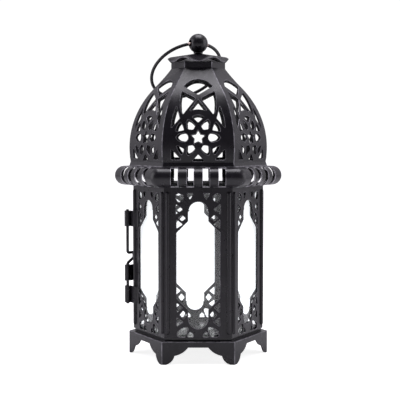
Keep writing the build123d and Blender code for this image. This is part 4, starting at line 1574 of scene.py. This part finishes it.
class BentRod:
    """A round wire that is run straight and bent step by step, in millimetres."""

    def __init__(self, radius: float, start: Vector, direction: Vector) -> None:
        """Begin the wire with its first end.

        Args:
            radius: Radius of the wire.
            start: Centre of the first end.
            direction: Way that the wire leaves it.
        """
        self.bm = bmesh.new()
        made = bmesh.ops.create_circle(self.bm, cap_ends=True, segments=WIRE_SEGMENTS, radius=radius * MM)
        turn = UP.rotation_difference(direction).to_matrix()
        bmesh.ops.rotate(self.bm, verts=made["verts"], cent=ORIGIN, matrix=turn)
        bmesh.ops.translate(self.bm, verts=made["verts"], vec=start * MM)
        self.end = self.bm.faces[:][0]
        self.at = start
        self.direction = direction

    def run_to(self, point: Vector) -> None:
        """Run the wire straight to a point ahead of it.

        Args:
            point: The point, in millimetres.
        """
        swept = bmesh.ops.extrude_face_region(self.bm, geom=self.whole_end())
        moved = [part for part in swept["geom"] if isinstance(part, bmesh.types.BMVert)]
        bmesh.ops.translate(self.bm, verts=moved, vec=(point - self.at) * MM)
        self.end = next(part for part in swept["geom"] if isinstance(part, bmesh.types.BMFace))
        self.at = point

    def whole_end(self) -> list:
        """The wire's end face with its edges and vertices, so that no wall is left inside."""
        return [self.end, *self.end.edges, *self.end.verts]

    def turn_at(self, corner: Vector, direction: Vector, radius: float) -> None:
        """Run towards a corner and bend round it.

        Args:
            corner: Where the two straight runs would meet.
            direction: Way of the next run.
            radius: Radius of the bend's centre line.
        """
        angle = self.direction.angle(direction)
        lead = radius * math.tan(angle / 2)
        self.run_to(corner - self.direction * lead)
        axis = self.direction.cross(direction).normalized()
        centre = self.at + axis.cross(self.direction) * radius
        spun = bmesh.ops.spin(self.bm, geom=self.whole_end(), cent=centre * MM, axis=axis, angle=angle,
                              steps=BEND_STEPS, use_duplicate=False)
        self.end = next(part for part in spun["geom_last"] if isinstance(part, bmesh.types.BMFace))
        self.at = corner + direction * lead
        self.direction = direction


def frame_corner() -> float:
    """Distance in metres from the axis to a corner of the body, from the front panel's width."""
    return 2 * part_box("side_panel_front")[1].x


# ---- pieces that keep their CAD shape ----------------------------------------------------------


@dataclass(frozen=True)
class KeptPieces:
    """The flat and hidden pieces, whose CAD shape is already right."""

    painted: tuple[str, ...] = ("body_top_plate", "dome_seat_ring", "dome_cap_plate", "pane_clips",
                                "door_pane_clips", "door_catch")
    plated: tuple[str, ...] = ("finial_stem", "finial_nut")

    def dress(self, finishes: Finishes) -> None:
        """Give each piece its finish.

        Args:
            finishes: The lantern's finishes.
        """
        for node in self.painted:
            self.paint(node, finishes.sheet)
        for node in self.plated:
            self.paint(node, finishes.steel)
        self.paint("floor_tray", finishes.tray)

    @staticmethod
    def paint(node: str, material: bpy.types.Material) -> None:
        """Put one finish on every slot of a CAD node.

        Args:
            node: The node's name.
            material: The finish.
        """
        for slot in frame["nodes"][node].material_slots:
            slot.material = material
        LOG.info("%s keeps its shape", node)


# ---- studio ------------------------------------------------------------------------------------


@dataclass(frozen=True)
class SoftBox:
    """One soft lamp, aimed at the middle of the lantern."""

    name: str
    place: tuple[float, float, float]
    size: tuple[float, float]
    power: float
    colour: tuple[float, float, float] = (0.96, 0.94, 1.0)

    def build(self, target: Vector) -> None:
        """Hang the lamp.

        Args:
            target: The point that it faces.
        """
        lamp = bpy.data.lights.new(self.name, "AREA")
        lamp.shape = "RECTANGLE"
        lamp.size, lamp.size_y = self.size
        lamp.energy = self.power
        lamp.color = self.colour
        holder = bpy.data.objects.new(self.name, lamp)
        holder.location = self.place
        holder.rotation_euler = (target - Vector(self.place)).to_track_quat("-Z", "Y").to_euler()
        bpy.context.scene.collection.objects.link(holder)


@dataclass(frozen=True)
class Studio:
    """Pale floor, white surroundings, soft lamps and the camera."""

    floor_radius: float = 6.0
    floor_steps: int = 96
    lamp_aim: tuple[float, float, float] = (0.0, 0.0, 0.11)
    backdrop_strength: float = 1.05
    fill_colour: tuple[float, float, float] = (0.96, 0.93, 1.0)
    sensor: float = 36.0
    clip_start: float = 0.01
    camera_place: tuple[float, float, float] = (0.0, -0.700, 0.146)
    camera_aim: tuple[float, float, float] = (0.00122, 0.0, 0.10410)
    lens: float = 93.05
    fill_spread: tuple[float, float, float, float] = (-0.85, 0.45, 0.045, 0.56)
    lamps: tuple[SoftBox, ...] = (
        SoftBox("left_softbox", (-0.75, -0.10, 0.30), (0.55, 0.80), 1.9),
        SoftBox("right_softbox", (0.75, -0.05, 0.28), (0.55, 0.80), 1.6),
        SoftBox("top_softbox", (0.05, 0.0, 0.95), (0.60, 0.60), 4.5),
    )

    def build(self) -> None:
        """Set up the whole studio."""
        bm = bmesh.new()
        bmesh.ops.create_circle(bm, cap_ends=True, segments=self.floor_steps, radius=self.floor_radius)
        mesh = bpy.data.meshes.new("floor")
        bm.to_mesh(mesh)
        bm.free()
        mesh.materials.append(PalePaper().material())
        floor = bpy.data.objects.new("floor", mesh)
        bpy.context.scene.collection.objects.link(floor)
        for lamp in self.lamps:
            lamp.build(Vector(self.lamp_aim))
        self.surroundings()
        self.camera()
        bpy.context.scene.view_settings.view_transform = "Standard"

    def surroundings(self) -> None:
        """White where it is seen straight or through glass; as a light, bright behind and dark in front."""
        world = bpy.data.worlds.new("white_studio")
        world.use_nodes = True
        tree = world.node_tree
        shown = tree.nodes["Background"]
        shown.inputs["Color"].default_value = (1.0, 1.0, 1.0, 1.0)
        shown.inputs["Strength"].default_value = self.backdrop_strength
        fill = tree.nodes.new("ShaderNodeBackground")
        fill.inputs["Color"].default_value = (*self.fill_colour, 1.0)
        place = tree.nodes.new("ShaderNodeTexCoord")
        parts = tree.nodes.new("ShaderNodeSeparateXYZ")
        spread = tree.nodes.new("ShaderNodeMapRange")
        spread.interpolation_type = "SMOOTHSTEP"
        for name, value in zip(("From Min", "From Max", "To Min", "To Max"), self.fill_spread):
            spread.inputs[name].default_value = value
        path = tree.nodes.new("ShaderNodeLightPath")
        either = tree.nodes.new("ShaderNodeMath")
        either.operation = "MAXIMUM"
        mix = tree.nodes.new("ShaderNodeMixShader")
        tree.links.new(place.outputs["Generated"], parts.inputs["Vector"])
        tree.links.new(parts.outputs["Y"], spread.inputs["Value"])
        tree.links.new(spread.outputs["Result"], fill.inputs["Strength"])
        tree.links.new(path.outputs["Is Camera Ray"], either.inputs[0])
        tree.links.new(path.outputs["Is Transmission Ray"], either.inputs[1])
        tree.links.new(either.outputs["Value"], mix.inputs["Fac"])
        tree.links.new(fill.outputs["Background"], mix.inputs[1])
        tree.links.new(shown.outputs["Background"], mix.inputs[2])
        tree.links.new(mix.outputs["Shader"], tree.nodes["World Output"].inputs["Surface"])
        bpy.context.scene.world = world

    def camera(self) -> None:
        """Place the camera a little above the lantern's middle, nearly square to its front."""
        data = bpy.data.cameras.new("camera")
        data.lens = self.lens
        data.sensor_width = self.sensor
        data.clip_start = self.clip_start
        holder = bpy.data.objects.new("camera", data)
        holder.location = self.camera_place
        aim = Vector(self.camera_aim) - Vector(self.camera_place)
        holder.rotation_euler = aim.to_track_quat("-Z", "Y").to_euler()
        bpy.context.scene.collection.objects.link(holder)
        bpy.context.scene.camera = holder


# ---- assembly ----------------------------------------------------------------------------------


def joint_named(name: str) -> dict:
    """The frame's joint with this name."""
    return next(joint for joint in frame["joints"] if joint["name"] == name)


def main() -> None:
    """Build the lantern's sub-assemblies in order, then the studio."""
    logging.basicConfig(level=logging.INFO, format="%(name)s %(message)s")
    finishes = Finishes()
    swing = joint_named("handle_swing")
    axis = Vector(swing["axis"]).normalized()
    pivot = Vector(swing["pos_m"])
    KeptPieces().dress(finishes)
    BaseStand().build(finishes)
    SidePanels().build(finishes)
    GlassPanes().build(finishes)
    GalleryBand().build(finishes)
    Dome().build(finishes)
    CrownDisc().build(finishes)
    Finial().build(finishes.turned, axis)
    HandleRing().build(finishes.wire, finishes.rubbed, pivot, axis)
    HingeHardware().build(finishes.sheet, finishes.wire)
    Studio().build()
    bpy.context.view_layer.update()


if __name__ == "__main__":
    main()
